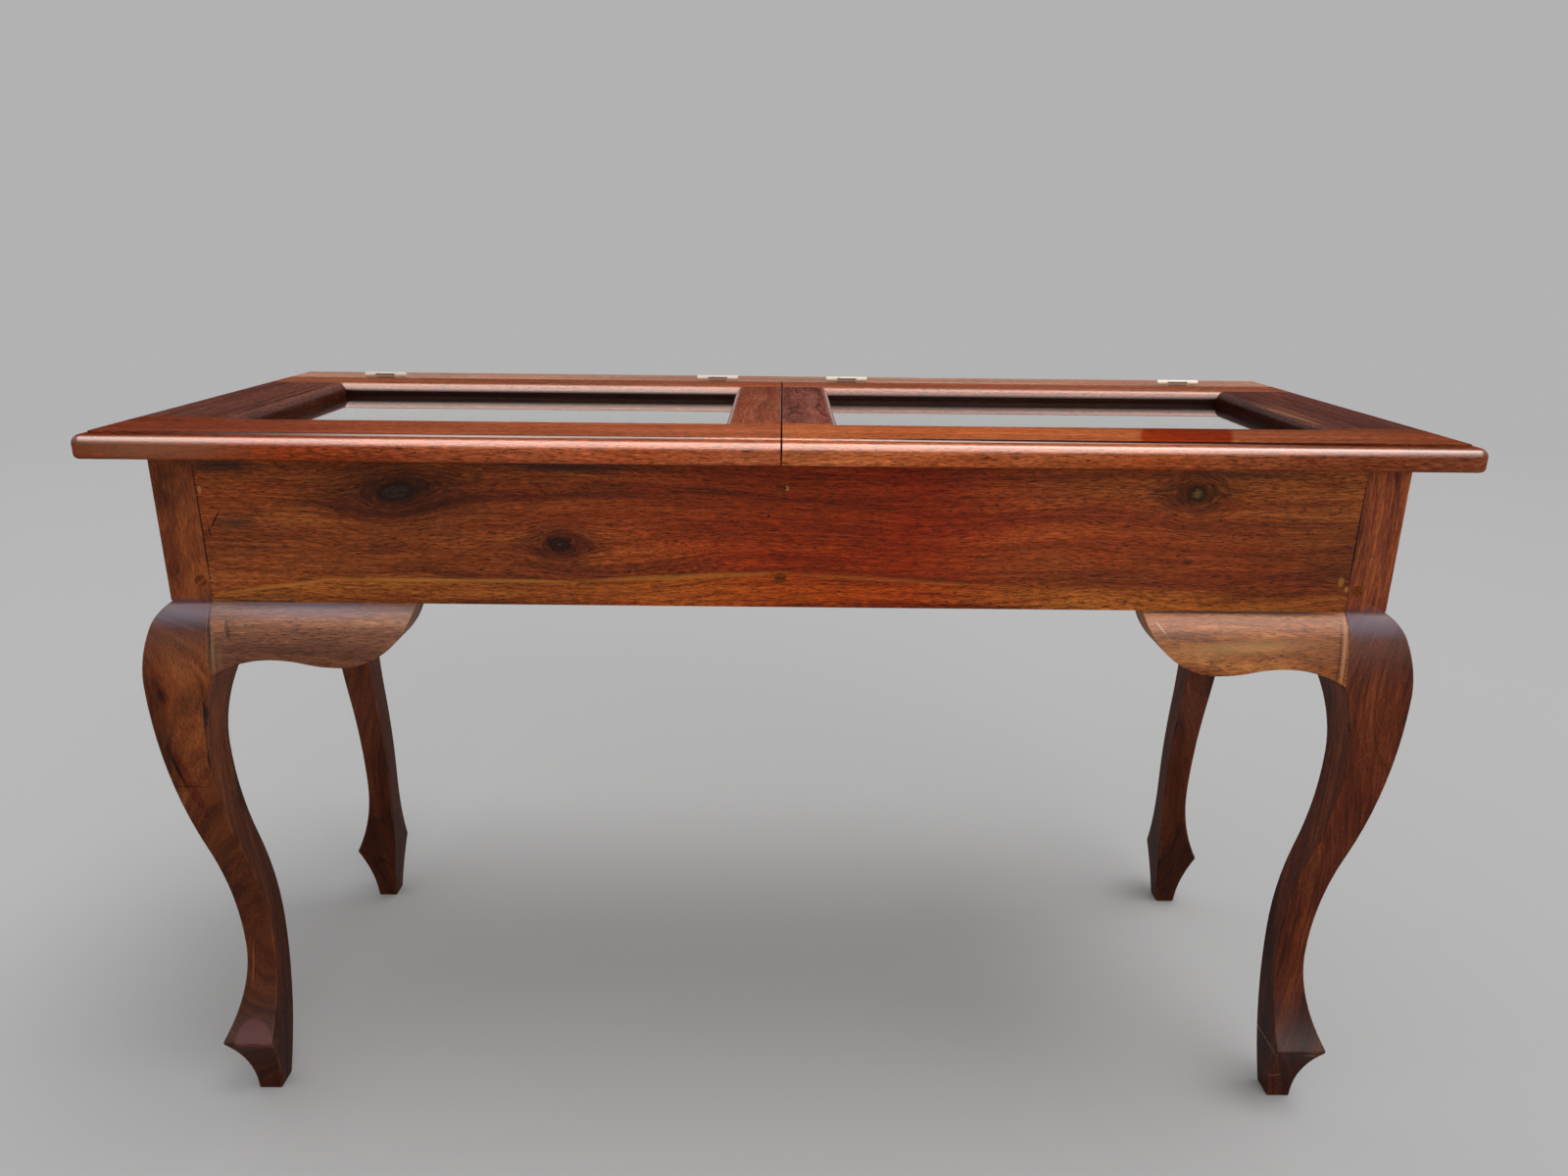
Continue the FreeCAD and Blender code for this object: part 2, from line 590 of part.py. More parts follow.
class Hinge:
    """One butt hinge at a place on the left lid: leaves, pin, screws and their recesses."""

    def __init__(self, name, centre):
        self.name = name
        self.centre = centre
        self.recesses = {}
        self.screws = {}
        self.leaves = {}
        self.makeLeaf("fixed", 1)
        self.makeLeaf("lid", -1)
        ends = "hingeLength / 2 + pintleEnd"
        self.pin = facetRod(f"{name}_pin", (f"{centre} - ({ends})", "hingeLine", "hingeLevel"),
                            towardsX, "pintleRadius", f"2 * ({ends})", pegSides)

    def across(self, low, high):
        """Two places along the hinge, measured from its middle."""
        return f"{self.centre} + ({low})", f"{self.centre} + ({high})"

    def plate(self, tag, side, ends, top, bottom):
        """A flat of the leaf; side 1 is the rear rail's, side -1 the lid's."""
        near = "hingeLine + hingeGap / 2" if side > 0 else "hingeLine - hingeGap / 2 - leafThickness"
        low = (ends[0], near, f"hingeLevel - {bottom}")
        high = (ends[1], f"{near} + leafThickness", f"hingeLevel - ({top})")
        return box(f"{self.name}_{tag}", low, high)

    def makeLeaf(self, kind, side):
        half = "hingeLength / 2"
        middle = "knuckleLength / 2"
        if side > 0:
            spans = [(f"-{half}", f"-{middle} - knuckleGap / 2"), (f"{middle} + knuckleGap / 2", half)]
        else:
            spans = [(f"knuckleGap / 2 - {middle}", f"{middle} - knuckleGap / 2")]
        whole = self.across(f"-{half}", half)
        parts = [self.plate(f"{kind}_plate", side, whole, "knuckleRadius + leafClear", "leafDepth")]
        for number, span in enumerate(spans):
            ends = self.across(*span)
            parts.append(self.plate(f"{kind}_neck{number}", side, ends, "0", "leafDepth"))
            parts.append(rod(f"{self.name}_{kind}_knuckle{number}",
                             (ends[0], "hingeLine", "hingeLevel"), towardsX, "knuckleRadius",
                             f"({ends[1]}) - ({ends[0]})"))
        solid = fuse(f"{self.name}_{kind}_solid", *parts)
        bore = facetRod(f"{self.name}_{kind}_bore", (whole[0], "hingeLine", "hingeLevel"), towardsX,
                        f"(pintleRadius + pintleSpare) * {cornersToFlats:.4f}", "hingeLength",
                        pegSides)
        screws = self.makeScrews(kind, side)
        self.screws[kind] = screws
        self.leaves[kind] = cut(f"{self.name}_{kind}_leaf", solid, bore, screws)
        # the leaf's place in the wood is open at the top
        recess = self.plate(f"{kind}_recess", side, whole, "0", "leafDepth")
        self.recesses[kind] = (recess, screws)

    def makeScrews(self, kind, side):
        face = f"hingeLine + {side} * hingeGap / 2"
        turn = towardsBack if side > 0 else towardsFront
        screws = []
        for number, way in enumerate((-1, 1)):
            start = (f"{self.centre} + {way} * leafScrewPitch / 2", face,
                     "hingeLevel - leafScrewDrop")
            screws.append(screwSolid(f"{self.name}_{kind}_screw{number}", start, turn,
                                     "leafScrewHead", "leafThickness", "leafScrewShank",
                                     "leafScrewLength"))
        return group(f"{self.name}_{kind}_screws", *screws)


def makeHinges():
    """The two hinges of the left lid; the right lid's are their mirror images."""
    hinges = [Hinge("hinge_left_outer", "hingeInset - halfLength"), Hinge("hinge_left_inner", "-hingeInner")]
    for hinge in hinges:
        other = hinge.name.replace("left", "right")
        for kind, leaf in hinge.leaves.items():
            keep(leaf, f"{hinge.name}_{kind}_leaf")
            keep(mirror(f"{other}_{kind}_leaf", leaf, alongX), f"{other}_{kind}_leaf")
        keep(hinge.pin, f"{hinge.name}_pin")
        keep(mirror(f"{other}_pin", hinge.pin, alongX), f"{other}_pin")
    fixed = group("left_fixed_screws", *[hinge.screws["fixed"] for hinge in hinges])
    others = mirror("right_fixed_screws", fixed, alongX)
    keep(group("rear_rail_hinge_screws", fixed, others), "rear_rail_hinge_screws")
    screws = group("left_lid_hinge_screws", *[hinge.screws["lid"] for hinge in hinges])
    keep(screws, "left_lid_hinge_screws")
    keep(mirror("right_lid_hinge_screws", screws, alongX), "right_lid_hinge_screws")
    return hinges


def recessesOf(hinges, kind):
    return [tool for hinge in hinges for tool in hinge.recesses[kind]]


def makeRearRail(top, hinges):
    strip = box("rear_rail_strip", ("-halfLength", "railFront", "boxTop"),
                ("halfLength", "halfDepth", "tableHeight"))
    rail = common("rear_rail_blank", top, strip)
    recesses = fuse("rear_rail_recesses", *recessesOf(hinges, "fixed"))
    others = mirror("rear_rail_recesses_right", recesses, alongX)
    groove = tongue("rear_rail", "tongueSpare")
    keep(cut("rear_top_rail", rail, recesses, others, groove), "rear_top_rail")


def makeLids(top, hinges):
    """Frame, pane and beads of the left lid, and their mirror images."""
    outer, inner, front, back = "-openOuter", "-openInner", "openFront", "openBack"
    edge = "-lidSplit / 2"

    whole = box("lid_whole", ("-halfLength", "-halfDepth", "lidBottom"),
                (edge, "lidBack", "tableHeight"))
    opening = box("lid_opening", (outer, front, "lidBottom"), (inner, back, "tableHeight"))
    pierced = cut("lid_pierced", common("lid_board", top, whole), opening)

    def onOpening(arris):
        bounds = arris.BoundBox
        level = bounds.ZMin > value("tableHeight") - 0.01
        inLength = bounds.XMin > value(outer) - 0.1 and bounds.XMax < value(inner) + 0.1
        inDepth = bounds.YMin > value(front) - 0.1 and bounds.YMax < value(back) + 0.1
        return level and inLength and inDepth

    softened = roundEdges("lid_softened", pierced, "openingRound", onOpening)
    pocket = box("lid_pocket", (f"{outer} - rebateWidth", f"{front} - rebateWidth", "lidBottom"),
                 (f"{inner} + rebateWidth", f"{back} + rebateWidth", "glassTop"))
    frame = cut("lid_frame", softened, pocket)

    middle = "(lidBottom + tableHeight) / 2"
    beads = {
        "front": ((f"{outer} - rebateWidth", f"{front} - rebateWidth"),
                  (f"{inner} + rebateWidth", front)),
        "back": ((f"{outer} - rebateWidth", back),
                 (f"{inner} + rebateWidth", f"{back} + rebateWidth")),
        "outer": ((f"{outer} - rebateWidth", front), (outer, back)),
        "centre": ((inner, front), (f"{inner} + rebateWidth", back)),
    }
    def strip(name, low, high):
        """The part of the moulded and rebated frame between two places in plan."""
        return common(f"{name}_stock", frame,
                      box(f"{name}_strip", (*low, "lidBottom"), (*high, "tableHeight")))

    def tenons(name, low, high, spare):
        """Stub tenons at both ends of a stile, or their mortises where there is spare."""
        ends = {"front": (f"{front} - lidTenonLength - {spare}", front),
                "back": (back, f"{back} + lidTenonLength + {spare}")}
        return {place: box(f"{name}_{place}",
                           (f"{low} + lidTenonInset", start, f"{middle} - lidTenonThickness / 2"),
                           (f"{high} - lidTenonInset", end, f"{middle} + lidTenonThickness / 2"))
                for place, (start, end) in ends.items()}

    stiles = {"outer_stile": ("-halfLength", outer), "centre_stile": (inner, edge)}
    left = {}
    mortises = {"front": [], "back": []}
    for name, (low, high) in stiles.items():
        body = strip(name, (low, front), (high, back))
        ends = tenons(f"{name}_tenon", low, high, "0")
        left[name] = fuse(f"left_lid_{name}", body, *ends.values())
        for place, mortise in tenons(f"{name}_mortise", low, high, "mortiseSpare").items():
            mortises[place].append(mortise)
    frontStock = strip("front_rail", ("-halfLength", "-halfDepth"), (edge, front))
    left["front_rail"] = cut("left_lid_front_rail", frontStock, *mortises["front"])
    backStock = strip("back_rail", ("-halfLength", back), (edge, "lidBack"))
    left["back_rail"] = cut("left_lid_back_rail", backStock, *mortises["back"],
                            *recessesOf(hinges, "lid"))
    left["glass"] = box("left_lid_glass",
                        (f"{outer} - rebateWidth + glassSpare",
                         f"{front} - rebateWidth + glassSpare", "glassBottom"),
                        (f"{inner} + rebateWidth - glassSpare",
                         f"{back} + rebateWidth - glassSpare", "glassTop"))
    for place, (low, high) in beads.items():
        left[f"bead_{place}"] = box(f"left_lid_bead_{place}", (*low, "lidBottom"),
                                    (*high, "glassBottom"))
    for name, solid in left.items():
        keep(solid, f"left_lid_{name}")
        keep(mirror(f"right_lid_{name}", solid, alongX), f"right_lid_{name}")


def main():
    peg = makePeg()
    frontPegs = group("front_pegs", peg, mirror("corner_peg_right", peg, alongX))
    rearPegs = mirror("rear_pegs", frontPegs, alongY)
    keep(group("joint_pegs", frontPegs, rearPegs), "joint_pegs")
    makeLegs(peg)
    frontPlugs, frontScrews = makeFrontScrews()
    makeAprons(peg, frontPlugs, frontScrews)
    makeDivider(frontPlugs, frontScrews)
    makeBase()
    makeKneeBlocks()
    top = makeTopForm()
    hinges = makeHinges()
    makeRearRail(top, hinges)
    makeLids(top, hinges)
    doc.recompute()


def export():
    """Check every object of the document, then write each piece to its own file."""
    for item in doc.Objects:
        if {"Invalid", "Error"} & set(item.State):
            raise RuntimeError(f"{item.Name} failed: {item.State}")
    os.makedirs("parts", exist_ok=True)
    for piece in pieces:
        shape = piece.Shape
        if shape.isNull() or not shape.isValid():
            raise RuntimeError(f"{piece.Label} has no valid shape")
    for piece in pieces:
        piece.Shape.exportStep(f"parts/{piece.Label}.step")
        print(f"{piece.Label}: {len(piece.Shape.Solids)} solid(s), {piece.Shape.Volume:.0f} mm3")


main()
export()
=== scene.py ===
import json
import math

import bmesh
import bpy
from mathutils import Matrix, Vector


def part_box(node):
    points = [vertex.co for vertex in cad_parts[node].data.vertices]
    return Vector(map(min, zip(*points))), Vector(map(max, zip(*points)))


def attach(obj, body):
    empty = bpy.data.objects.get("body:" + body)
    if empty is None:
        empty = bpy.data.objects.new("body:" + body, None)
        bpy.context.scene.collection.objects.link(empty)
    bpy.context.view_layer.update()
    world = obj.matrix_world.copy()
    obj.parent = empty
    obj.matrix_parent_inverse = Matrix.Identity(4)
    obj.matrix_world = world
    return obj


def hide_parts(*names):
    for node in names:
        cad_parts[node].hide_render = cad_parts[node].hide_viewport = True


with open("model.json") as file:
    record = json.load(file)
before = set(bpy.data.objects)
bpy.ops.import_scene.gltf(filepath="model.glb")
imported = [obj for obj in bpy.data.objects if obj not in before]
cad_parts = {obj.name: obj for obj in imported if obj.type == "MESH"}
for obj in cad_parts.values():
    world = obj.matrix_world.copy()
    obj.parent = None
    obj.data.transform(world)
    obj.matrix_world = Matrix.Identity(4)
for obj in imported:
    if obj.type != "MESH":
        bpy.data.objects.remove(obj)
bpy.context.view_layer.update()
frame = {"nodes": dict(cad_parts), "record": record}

print("stage 1: frame loaded,", len(frame["nodes"]), "nodes")

mm = 0.001
perMetre = (1000.0, 1000.0, 1000.0)  # millimetres, on each axis
slotOf = {part["node"]: part["material_slot"] for part in frame["record"]["subparts"]}
bodyOf = {node: body for body, nodes in frame["record"]["behaviour"]["bodies"].items() for node in nodes}


def linear(hexColour):
    # sRGB hex to Blender's linear colour
    parts = [int(hexColour[i:i + 2], 16) / 255 for i in (1, 3, 5)]
    return tuple(c / 12.92 if c <= 0.04045 else ((c + 0.055) / 1.055) ** 2.4 for c in parts) + (1.0,)


def addNode(tree, kind, settings=None, inputs=None, stops=None):
    # an input is a number, a hex colour, a socket, or a node whose first output is meant
    node = tree.nodes.new("ShaderNode" + kind)
    for key, value in (settings or {}).items():
        setattr(node, key, value)
    for key, value in (inputs or {}).items():
        if isinstance(key, int):
            socket = node.inputs[key]
        else:
            socket = [s for s in node.inputs if s.name == key and s.enabled][0]
        if isinstance(value, bpy.types.Node):
            value = [s for s in value.outputs if s.enabled][0]
        if isinstance(value, bpy.types.NodeSocket):
            tree.links.new(value, socket)
        else:
            socket.default_value = linear(value) if isinstance(value, str) else value
    if stops:
        ramp = node.color_ramp
        while len(ramp.elements) > 1:
            ramp.elements.remove(ramp.elements[-1])
        for n, (place, colour) in enumerate(stops):
            element = ramp.elements[0] if n == 0 else ramp.elements.new(place)
            element.position = place
            element.color = linear(colour) if isinstance(colour, str) else (colour, colour, colour, 1.0)
    return node


def newMaterial(name):
    material = bpy.data.materials.new(name)
    material.use_nodes = True
    material.node_tree.nodes.clear()
    return material, material.node_tree


# settings that many nodes share
smooth = {"interpolation_type": "SMOOTHSTEP"}
colours = {"data_type": "RGBA"}
times = {"operation": "MULTIPLY"}
timesPlus = {"operation": "MULTIPLY_ADD"}
minus = {"operation": "SUBTRACT"}
absolute = {"operation": "ABSOLUTE"}
lengthOf = {"operation": "LENGTH"}


cameraPlace = {
    "location": (0, -0.89314, 0.6883),
    "pitchDown": 17.6966,  # degrees, as turn and roll
    "turn": -0.2229,
    "roll": 0.6189,
    "lens": 24.586,  # mm, as sensor
    "sensor": 36,
    "farthest": 200,  # metres
}


def makeCamera():
    data = bpy.data.cameras.new("viewCamera")
    data.sensor_width = cameraPlace["sensor"]
    data.lens = cameraPlace["lens"]
    data.clip_end = cameraPlace["farthest"]
    camera = bpy.data.objects.new("viewCamera", data)
    turn = (Matrix.Rotation(math.radians(cameraPlace["turn"]), 4, "Z")
            @ Matrix.Rotation(math.radians(90 - cameraPlace["pitchDown"]), 4, "X")
            @ Matrix.Rotation(math.radians(cameraPlace["roll"]), 4, "Z"))
    camera.matrix_world = Matrix.Translation(cameraPlace["location"]) @ turn
    bpy.context.scene.collection.objects.link(camera)
    bpy.context.scene.camera = camera


studio = {
    "background": "#b2b2b2",
    "floorPaintedLightStops": [(0.35, "#b9b9b9"), (1, "#b2b2b2")],  # from the table outwards; the paler grey near the table is painted light that lifts the shade there
    "floorFade": 4,  # metres to the last of these colours
    "floorSize": 60,  # metres
    "ambient": 0.62,  # radiance of the surroundings as they light the table
    "suns": {  # strength, turn in degrees, apparent size in degrees
        "topSun": (1.02, (3, 19, 0), 32),
        "frontSun": (0.9, (75, 0, 24), 50),
    },
    "panels": {  # soft boxes that only show in gloss: size, place, turn, radiance, colour
        "rearPanel": ((7, 1.5), (0, 3.2, 0.95), (-90, 0, 0), 0.4, "#ffffff"),
        "overheadPanel": ((4.5, 6.6), (0, -1.5, 2.6), (0, 0, 0), 8.2, "#fff0e8"),
        "frontPanel": ((6, 1.7), (0, -5, 1.8), (75, 0, 0), 5, "#fff2ea"),
    },
    "outOfLight": {  # slots that would burn out to white in a light
        "topSun": ("pane_glass",),
        "frontSun": ("pane_glass",),
        "rearPanel": ("hinge_brass", "steel_fasteners"),
        "overheadPanel": ("hinge_brass", "steel_fasteners", "pane_glass"),
        "frontPanel": ("hinge_brass", "steel_fasteners", "pane_glass"),
    },
}


def makeWorld():
    # a grey backdrop to look at, and a white one that lights
    world = bpy.data.worlds.new("studioWorld")
    bpy.context.scene.world = world
    world.use_nodes = True
    tree = world.node_tree
    tree.nodes.clear()
    rays = addNode(tree, "LightPath")
    seen = rays.outputs["Is Camera Ray"]
    for kind in ("Is Glossy Ray", "Is Transmission Ray"):
        seen = addNode(tree, "Math", {"operation": "MAXIMUM"}, {0: seen, 1: rays.outputs[kind]})
    shown = addNode(tree, "Background", {}, {"Color": studio["background"], "Strength": 1.0})
    lighting = addNode(tree, "Background", {}, {"Color": "#ffffff", "Strength": studio["ambient"]})
    mix = addNode(tree, "MixShader", {}, {0: seen, 1: lighting, 2: shown})
    addNode(tree, "OutputWorld", {}, {"Surface": mix})


def placeLight(name, data, turn, place=(0.0, 0.0, 0.0)):
    light = bpy.data.objects.new(name, data)
    light.location = place
    light.rotation_euler = [math.radians(angle) for angle in turn]
    bpy.context.scene.collection.objects.link(light)
    unlit = bpy.data.collections.new("outOf_" + name)
    for nodeName, node in frame["nodes"].items():
        if slotOf[nodeName] in studio["outOfLight"][name]:
            unlit.objects.link(node)
    for child in unlit.collection_objects:
        child.light_linking.link_state = "EXCLUDE"
    light.light_linking.receiver_collection = unlit
    return light


def makeLights():
    for name, (strength, turn, size) in studio["suns"].items():
        data = bpy.data.lights.new(name, "SUN")
        data.energy = strength
        data.angle = math.radians(size)
        placeLight(name, data, turn)
    for name, (size, place, turn, radiance, colour) in studio["panels"].items():
        data = bpy.data.lights.new(name, "AREA")
        data.shape = "RECTANGLE"
        data.size, data.size_y = size
        data.energy = radiance * math.pi * size[0] * size[1]
        data.color = linear(colour)[:3]
        panel = placeLight(name, data, turn, place)
        panel.visible_camera = False
        panel.visible_diffuse = False
        panel.visible_transmission = False


def makeFloor():
    # matt paint, a little paler near the table as painted light that lifts the shade there, and the
    # backdrop's grey far out so that it meets the backdrop without a line
    material, tree = newMaterial("studioFloorPaint")
    coords = addNode(tree, "TexCoord")
    away = addNode(tree, "VectorMath", lengthOf, {0: coords.outputs["Object"]})
    away = addNode(tree, "Math", {"operation": "DIVIDE"}, {
        0: away.outputs["Value"], 1: studio["floorFade"]})
    floorWithPaintedLight = addNode(tree, "ValToRGB", {}, {0: away}, studio["floorPaintedLightStops"])
    shader = addNode(tree, "BsdfPrincipled", {}, {
        "Base Color": floorWithPaintedLight, "Roughness": 1.0, "Specular IOR Level": 0.0})
    addNode(tree, "OutputMaterial", {}, {"Surface": shader})
    sheet = bmesh.new()
    bmesh.ops.create_grid(sheet, x_segments=1, y_segments=1, size=studio["floorSize"] / 2)
    mesh = bpy.data.meshes.new("studioFloor")
    sheet.to_mesh(mesh)
    sheet.free()
    mesh.materials.append(material)
    floor = bpy.data.objects.new("studioFloor", mesh)
    bpy.context.scene.collection.objects.link(floor)


grainTurns = {"x": (0, 0, 0), "y": (0, 0, math.radians(-90)), "z": (0, math.radians(90), 0)}
noiseSpan = {"From Min": 0.3, "From Max": 0.7}  # nearly all of a noise lies between these

# what any board of the table looks like unless its own entry says otherwise; lengths in mm
woodUsual = {
    "grain": "x",
    "seed": 1,
    "pith": (60, -40),  # centre of the trunk, across the grain
    "drift": 10,  # how far the trunk bends
    "driftLength": 220,
    "driftAcross": 3.5,  # how much faster it bends across the grain
    "push": 1.3,  # how far a knot pushes the grain aside
    "swerve": 0.22,  # how soon the grain is straight again beside a knot
    "bandLength": 500,
    "bandWidth": 16,
    "lineWidth": 1.8,
    "lineShare": 0.35,
    "linesPerBand": 8,
    "contours": 14,  # thin growth lines
    "contourScale": (0.7, 0.35),  # against the bands, as streakScale
    "contourShare": 0.3,
    "contourWidth": 0.09,
    "contourWaver": 0.02,
    "deep": "#3c1c12",
    "body": "#6c3a22",
    "light": "#8c4f2c",
    "toneStops": (0.36, 0.5, 0.64),
    "streak": "#2a120c",
    "streakScale": (1.2, 0.8),
    "streakShare": 0.58,
    "streakSoft": 0.16,
    "streakMost": 0.6,
    "patch": "#7a2a12",
    "patchScale": (0.007, 0.022, 0.022),  # patches per mm, along and across the grain
    "patchSpan": (0.45, 0.65),  # from no patch to a full one
    "patchShare": 0.35,
    "fibreScale": (0.12, 1.4, 1.4),
    "fibreSwing": 0.68,
    "toneSwing": 0.3,
    "poreScale": (0.18, 1.8, 1.8),  # twice as coarse as real so that the pores show
    "poreColour": "#1c0c06",
    "poreShare": 0.85,
    "poreFrom": 0.54,
    "poreSoft": 0.13,
    "poreDull": 0.2,  # how much rougher a pore is
    "poreDepth": 0.6,  # against the height of the fibres
    "gloss": 0.2,  # weight of the varnish, or its stops from facing down to facing up
    "coatRoughness": 0.22,
    "coatIndex": 1.5,
    "roughness": 0.5,
    "specular": 0.1,
    "wearScale": (0.03, 0.08, 0.08),
    "wearSpan": (0.42, 0.7),
    "wearColour": "#a06a48",
    "wearShare": 0.3,
    "recess": None,
    "recessColour": "#140808",
    "recessShare": 0.94,
    "knots": (),
    "marks": (),
    "sapwood": None,
    "casts": None,
    "bump": 0.12,
    "bumpDepth": 0.6,
}

# what any mark looks like unless its own entry says otherwise
markUsual = {
    "face": "front",
    "lean": 0,  # degrees
    "ragged": 0.8,
    "soft": 0.4,
    "share": 0.9,
    "blend": "MIX",
    "above": None,  # mm; the mark shows only higher than this
}


def markAt(place, size, colour, **more):
    # a plug's rim, crack, filler, chip or old dirt, by its middle and its half sizes in mm
    return {**markUsual, "place": place, "size": size, "colour": colour, **more}


def distanceFrom(tree, real, place, size, lean=0.0, face="front"):
    # distance from a place on a front (x, z), side (y, z) or top (x, y) face, in units of the half sizes,
    # or from a place with three figures in all directions
    axes = {"front": (0, 2), "side": (1, 2), "top": (0, 1)}[face] if len(place) == 2 else (0, 1, 2)
    across, middle, turn = [0.0] * 3, [0.0] * 3, [0.0] * 3
    for axis, half, centre in zip(axes, size, place):
        across[axis] = 1 / half
        middle[axis] = centre
    turn[2 if face == "top" else 1] = math.radians(-lean if face == "top" else lean)
    away = addNode(tree, "VectorMath", minus, {0: real, 1: middle})
    turned = addNode(tree, "Mapping", {}, {"Vector": away, "Rotation": turn})
    reach = addNode(tree, "VectorMath", times, {0: turned, 1: across})
    return away, addNode(tree, "VectorMath", lengthOf, {0: reach}).outputs["Value"]


def stretchedNoise(tree, place, scale, detail, rough, offset=(0.0, 0.0, 0.0)):
    spread = addNode(tree, "Mapping", {}, {"Vector": place, "Scale": scale, "Location": offset})
    return addNode(tree, "TexNoise", {}, {
        "Vector": spread, "Scale": 1.0, "Detail": detail, "Roughness": rough})


def bendGrain(wood):
    # the slow bends of the trunk, and the swerve of the grain round each knot
    tree, look, grain = wood["tree"], wood["look"], wood["grain"]
    bend = 1 / look["driftLength"]
    bendAcross = look["driftAcross"] * bend
    place = addNode(tree, "Mapping", {}, {"Vector": grain, "Scale": (bend, bendAcross, bendAcross)})
    slow = addNode(tree, "TexNoise", {"noise_dimensions": "4D"}, {
        "Vector": place, "W": look["seed"], "Scale": 1.0, "Detail": 3.0, "Roughness": 0.45})
    drift = addNode(tree, "VectorMath", minus, {0: slow.outputs["Color"], 1: (0.5, 0.5, 0.5)})
    flow = addNode(tree, "VectorMath", timesPlus, {
        0: drift, 1: (0.0, 2 * look["drift"], 2 * look["drift"]), 2: grain})
    wood["cores"] = []
    for knot in look["knots"]:
        away, length = distanceFrom(tree, wood["real"], knot["place"], knot["size"], knot.get("lean", 0.0))
        square = addNode(tree, "Math", {"operation": "POWER"}, {0: length, 1: 2.0})
        square = addNode(tree, "Math", times, {0: square, 1: -look["swerve"]})
        fall = addNode(tree, "Math", {"operation": "EXPONENT"}, {0: square})
        push = addNode(tree, "VectorMath", times, {0: away, 1: (0.0, 0.0, -look["push"])})
        push = addNode(tree, "VectorMath", {"operation": "SCALE"}, {0: push, "Scale": fall})
        flow = addNode(tree, "VectorMath", {"operation": "ADD"}, {0: flow, 1: push})
        wood["cores"].append((length, knot))
    # the distance from the pith gives growth rings that meet at every edge of the board
    pith = addNode(tree, "VectorMath", minus, {0: flow, 1: (0.0,) + look["pith"]})
    pith = addNode(tree, "VectorMath", times, {0: pith, 1: (0.0, 1.0, 1.0)})
    ring = addNode(tree, "VectorMath", lengthOf, {0: pith}).outputs["Value"]
    split = addNode(tree, "SeparateXYZ", {}, {0: grain})
    wood["along"], wood["level"] = split.outputs[0], split.outputs[2]
    wood["rings"] = addNode(tree, "CombineXYZ", {}, {0: wood["along"], 1: ring, 2: look["seed"]})
    wood["slow"], wood["flow"] = slow, flow


def drawBands(wood):
    # bands and lines along the rings, and redder patches
    tree, look, rings = wood["tree"], wood["look"], wood["rings"]
    longest, wide = look["bandLength"], look["bandWidth"]
    bands = stretchedNoise(tree, rings, (1 / longest, 1 / wide, 1.0), detail=3.0, rough=0.5)
    lines = stretchedNoise(tree, rings, (look["linesPerBand"] / longest, 1 / look["lineWidth"], 1.0),
                           detail=3.0, rough=0.6)
    mixed = addNode(tree, "Mix", {"data_type": "FLOAT"}, {
        "Factor": look["lineShare"], "A": bands, "B": lines})
    tones = list(zip(look["toneStops"], (look["deep"], look["body"], look["light"])))
    colour = addNode(tree, "ValToRGB", {}, {"Fac": mixed}, tones)
    place = addNode(tree, "Mapping", {}, {"Vector": wood["grain"], "Scale": look["patchScale"]})
    least, most = look["patchSpan"]
    patches = addNode(tree, "TexNoise", {"noise_dimensions": "4D"}, {
        "Vector": place, "W": look["seed"] + 5, "Scale": 1.0, "Detail": 4.0})
    share = addNode(tree, "MapRange", smooth, {
        "Value": patches, "From Min": least, "From Max": most, "To Max": look["patchShare"]})
    wood["lines"] = lines
    return addNode(tree, "Mix", colours, {"Factor": share, "A": colour, "B": look["patch"]})


def drawSapwood(wood, colour):
    # pale young wood below an uneven edge
    tree, sap = wood["tree"], wood["look"]["sapwood"]
    if not sap:
        return colour
    along = addNode(tree, "MapRange", {}, {
        "Value": wood["along"], "From Min": sap["from"], "From Max": sap["to"]})
    edge = addNode(tree, "ValToRGB", {}, {"Fac": along}, sap["edge"])
    strength = addNode(tree, "ValToRGB", {}, {"Fac": along}, sap["strength"])
    level = addNode(tree, "Math", timesPlus, {0: edge, 1: -sap["reach"], 2: wood["level"]})
    level = addNode(tree, "Math", timesPlus, {0: wood["lines"], 1: sap["ragged"], 2: level})
    start = sap["level"] + sap["ragged"] / 2
    pale = addNode(tree, "MapRange", smooth, {
        "Value": level, "From Min": start + sap["soft"], "From Max": start - sap["soft"]})
    least, most = sap["lineSpan"]
    uneven = addNode(tree, "MapRange", {}, {
        "Value": wood["lines"], "From Min": least, "From Max": most, "To Min": sap["lineLeast"]})
    for factor in (uneven, strength):
        pale = addNode(tree, "Math", times, {0: pale, 1: factor})
    return addNode(tree, "Mix", colours, {"Factor": pale, "A": colour, "B": sap["colour"]})


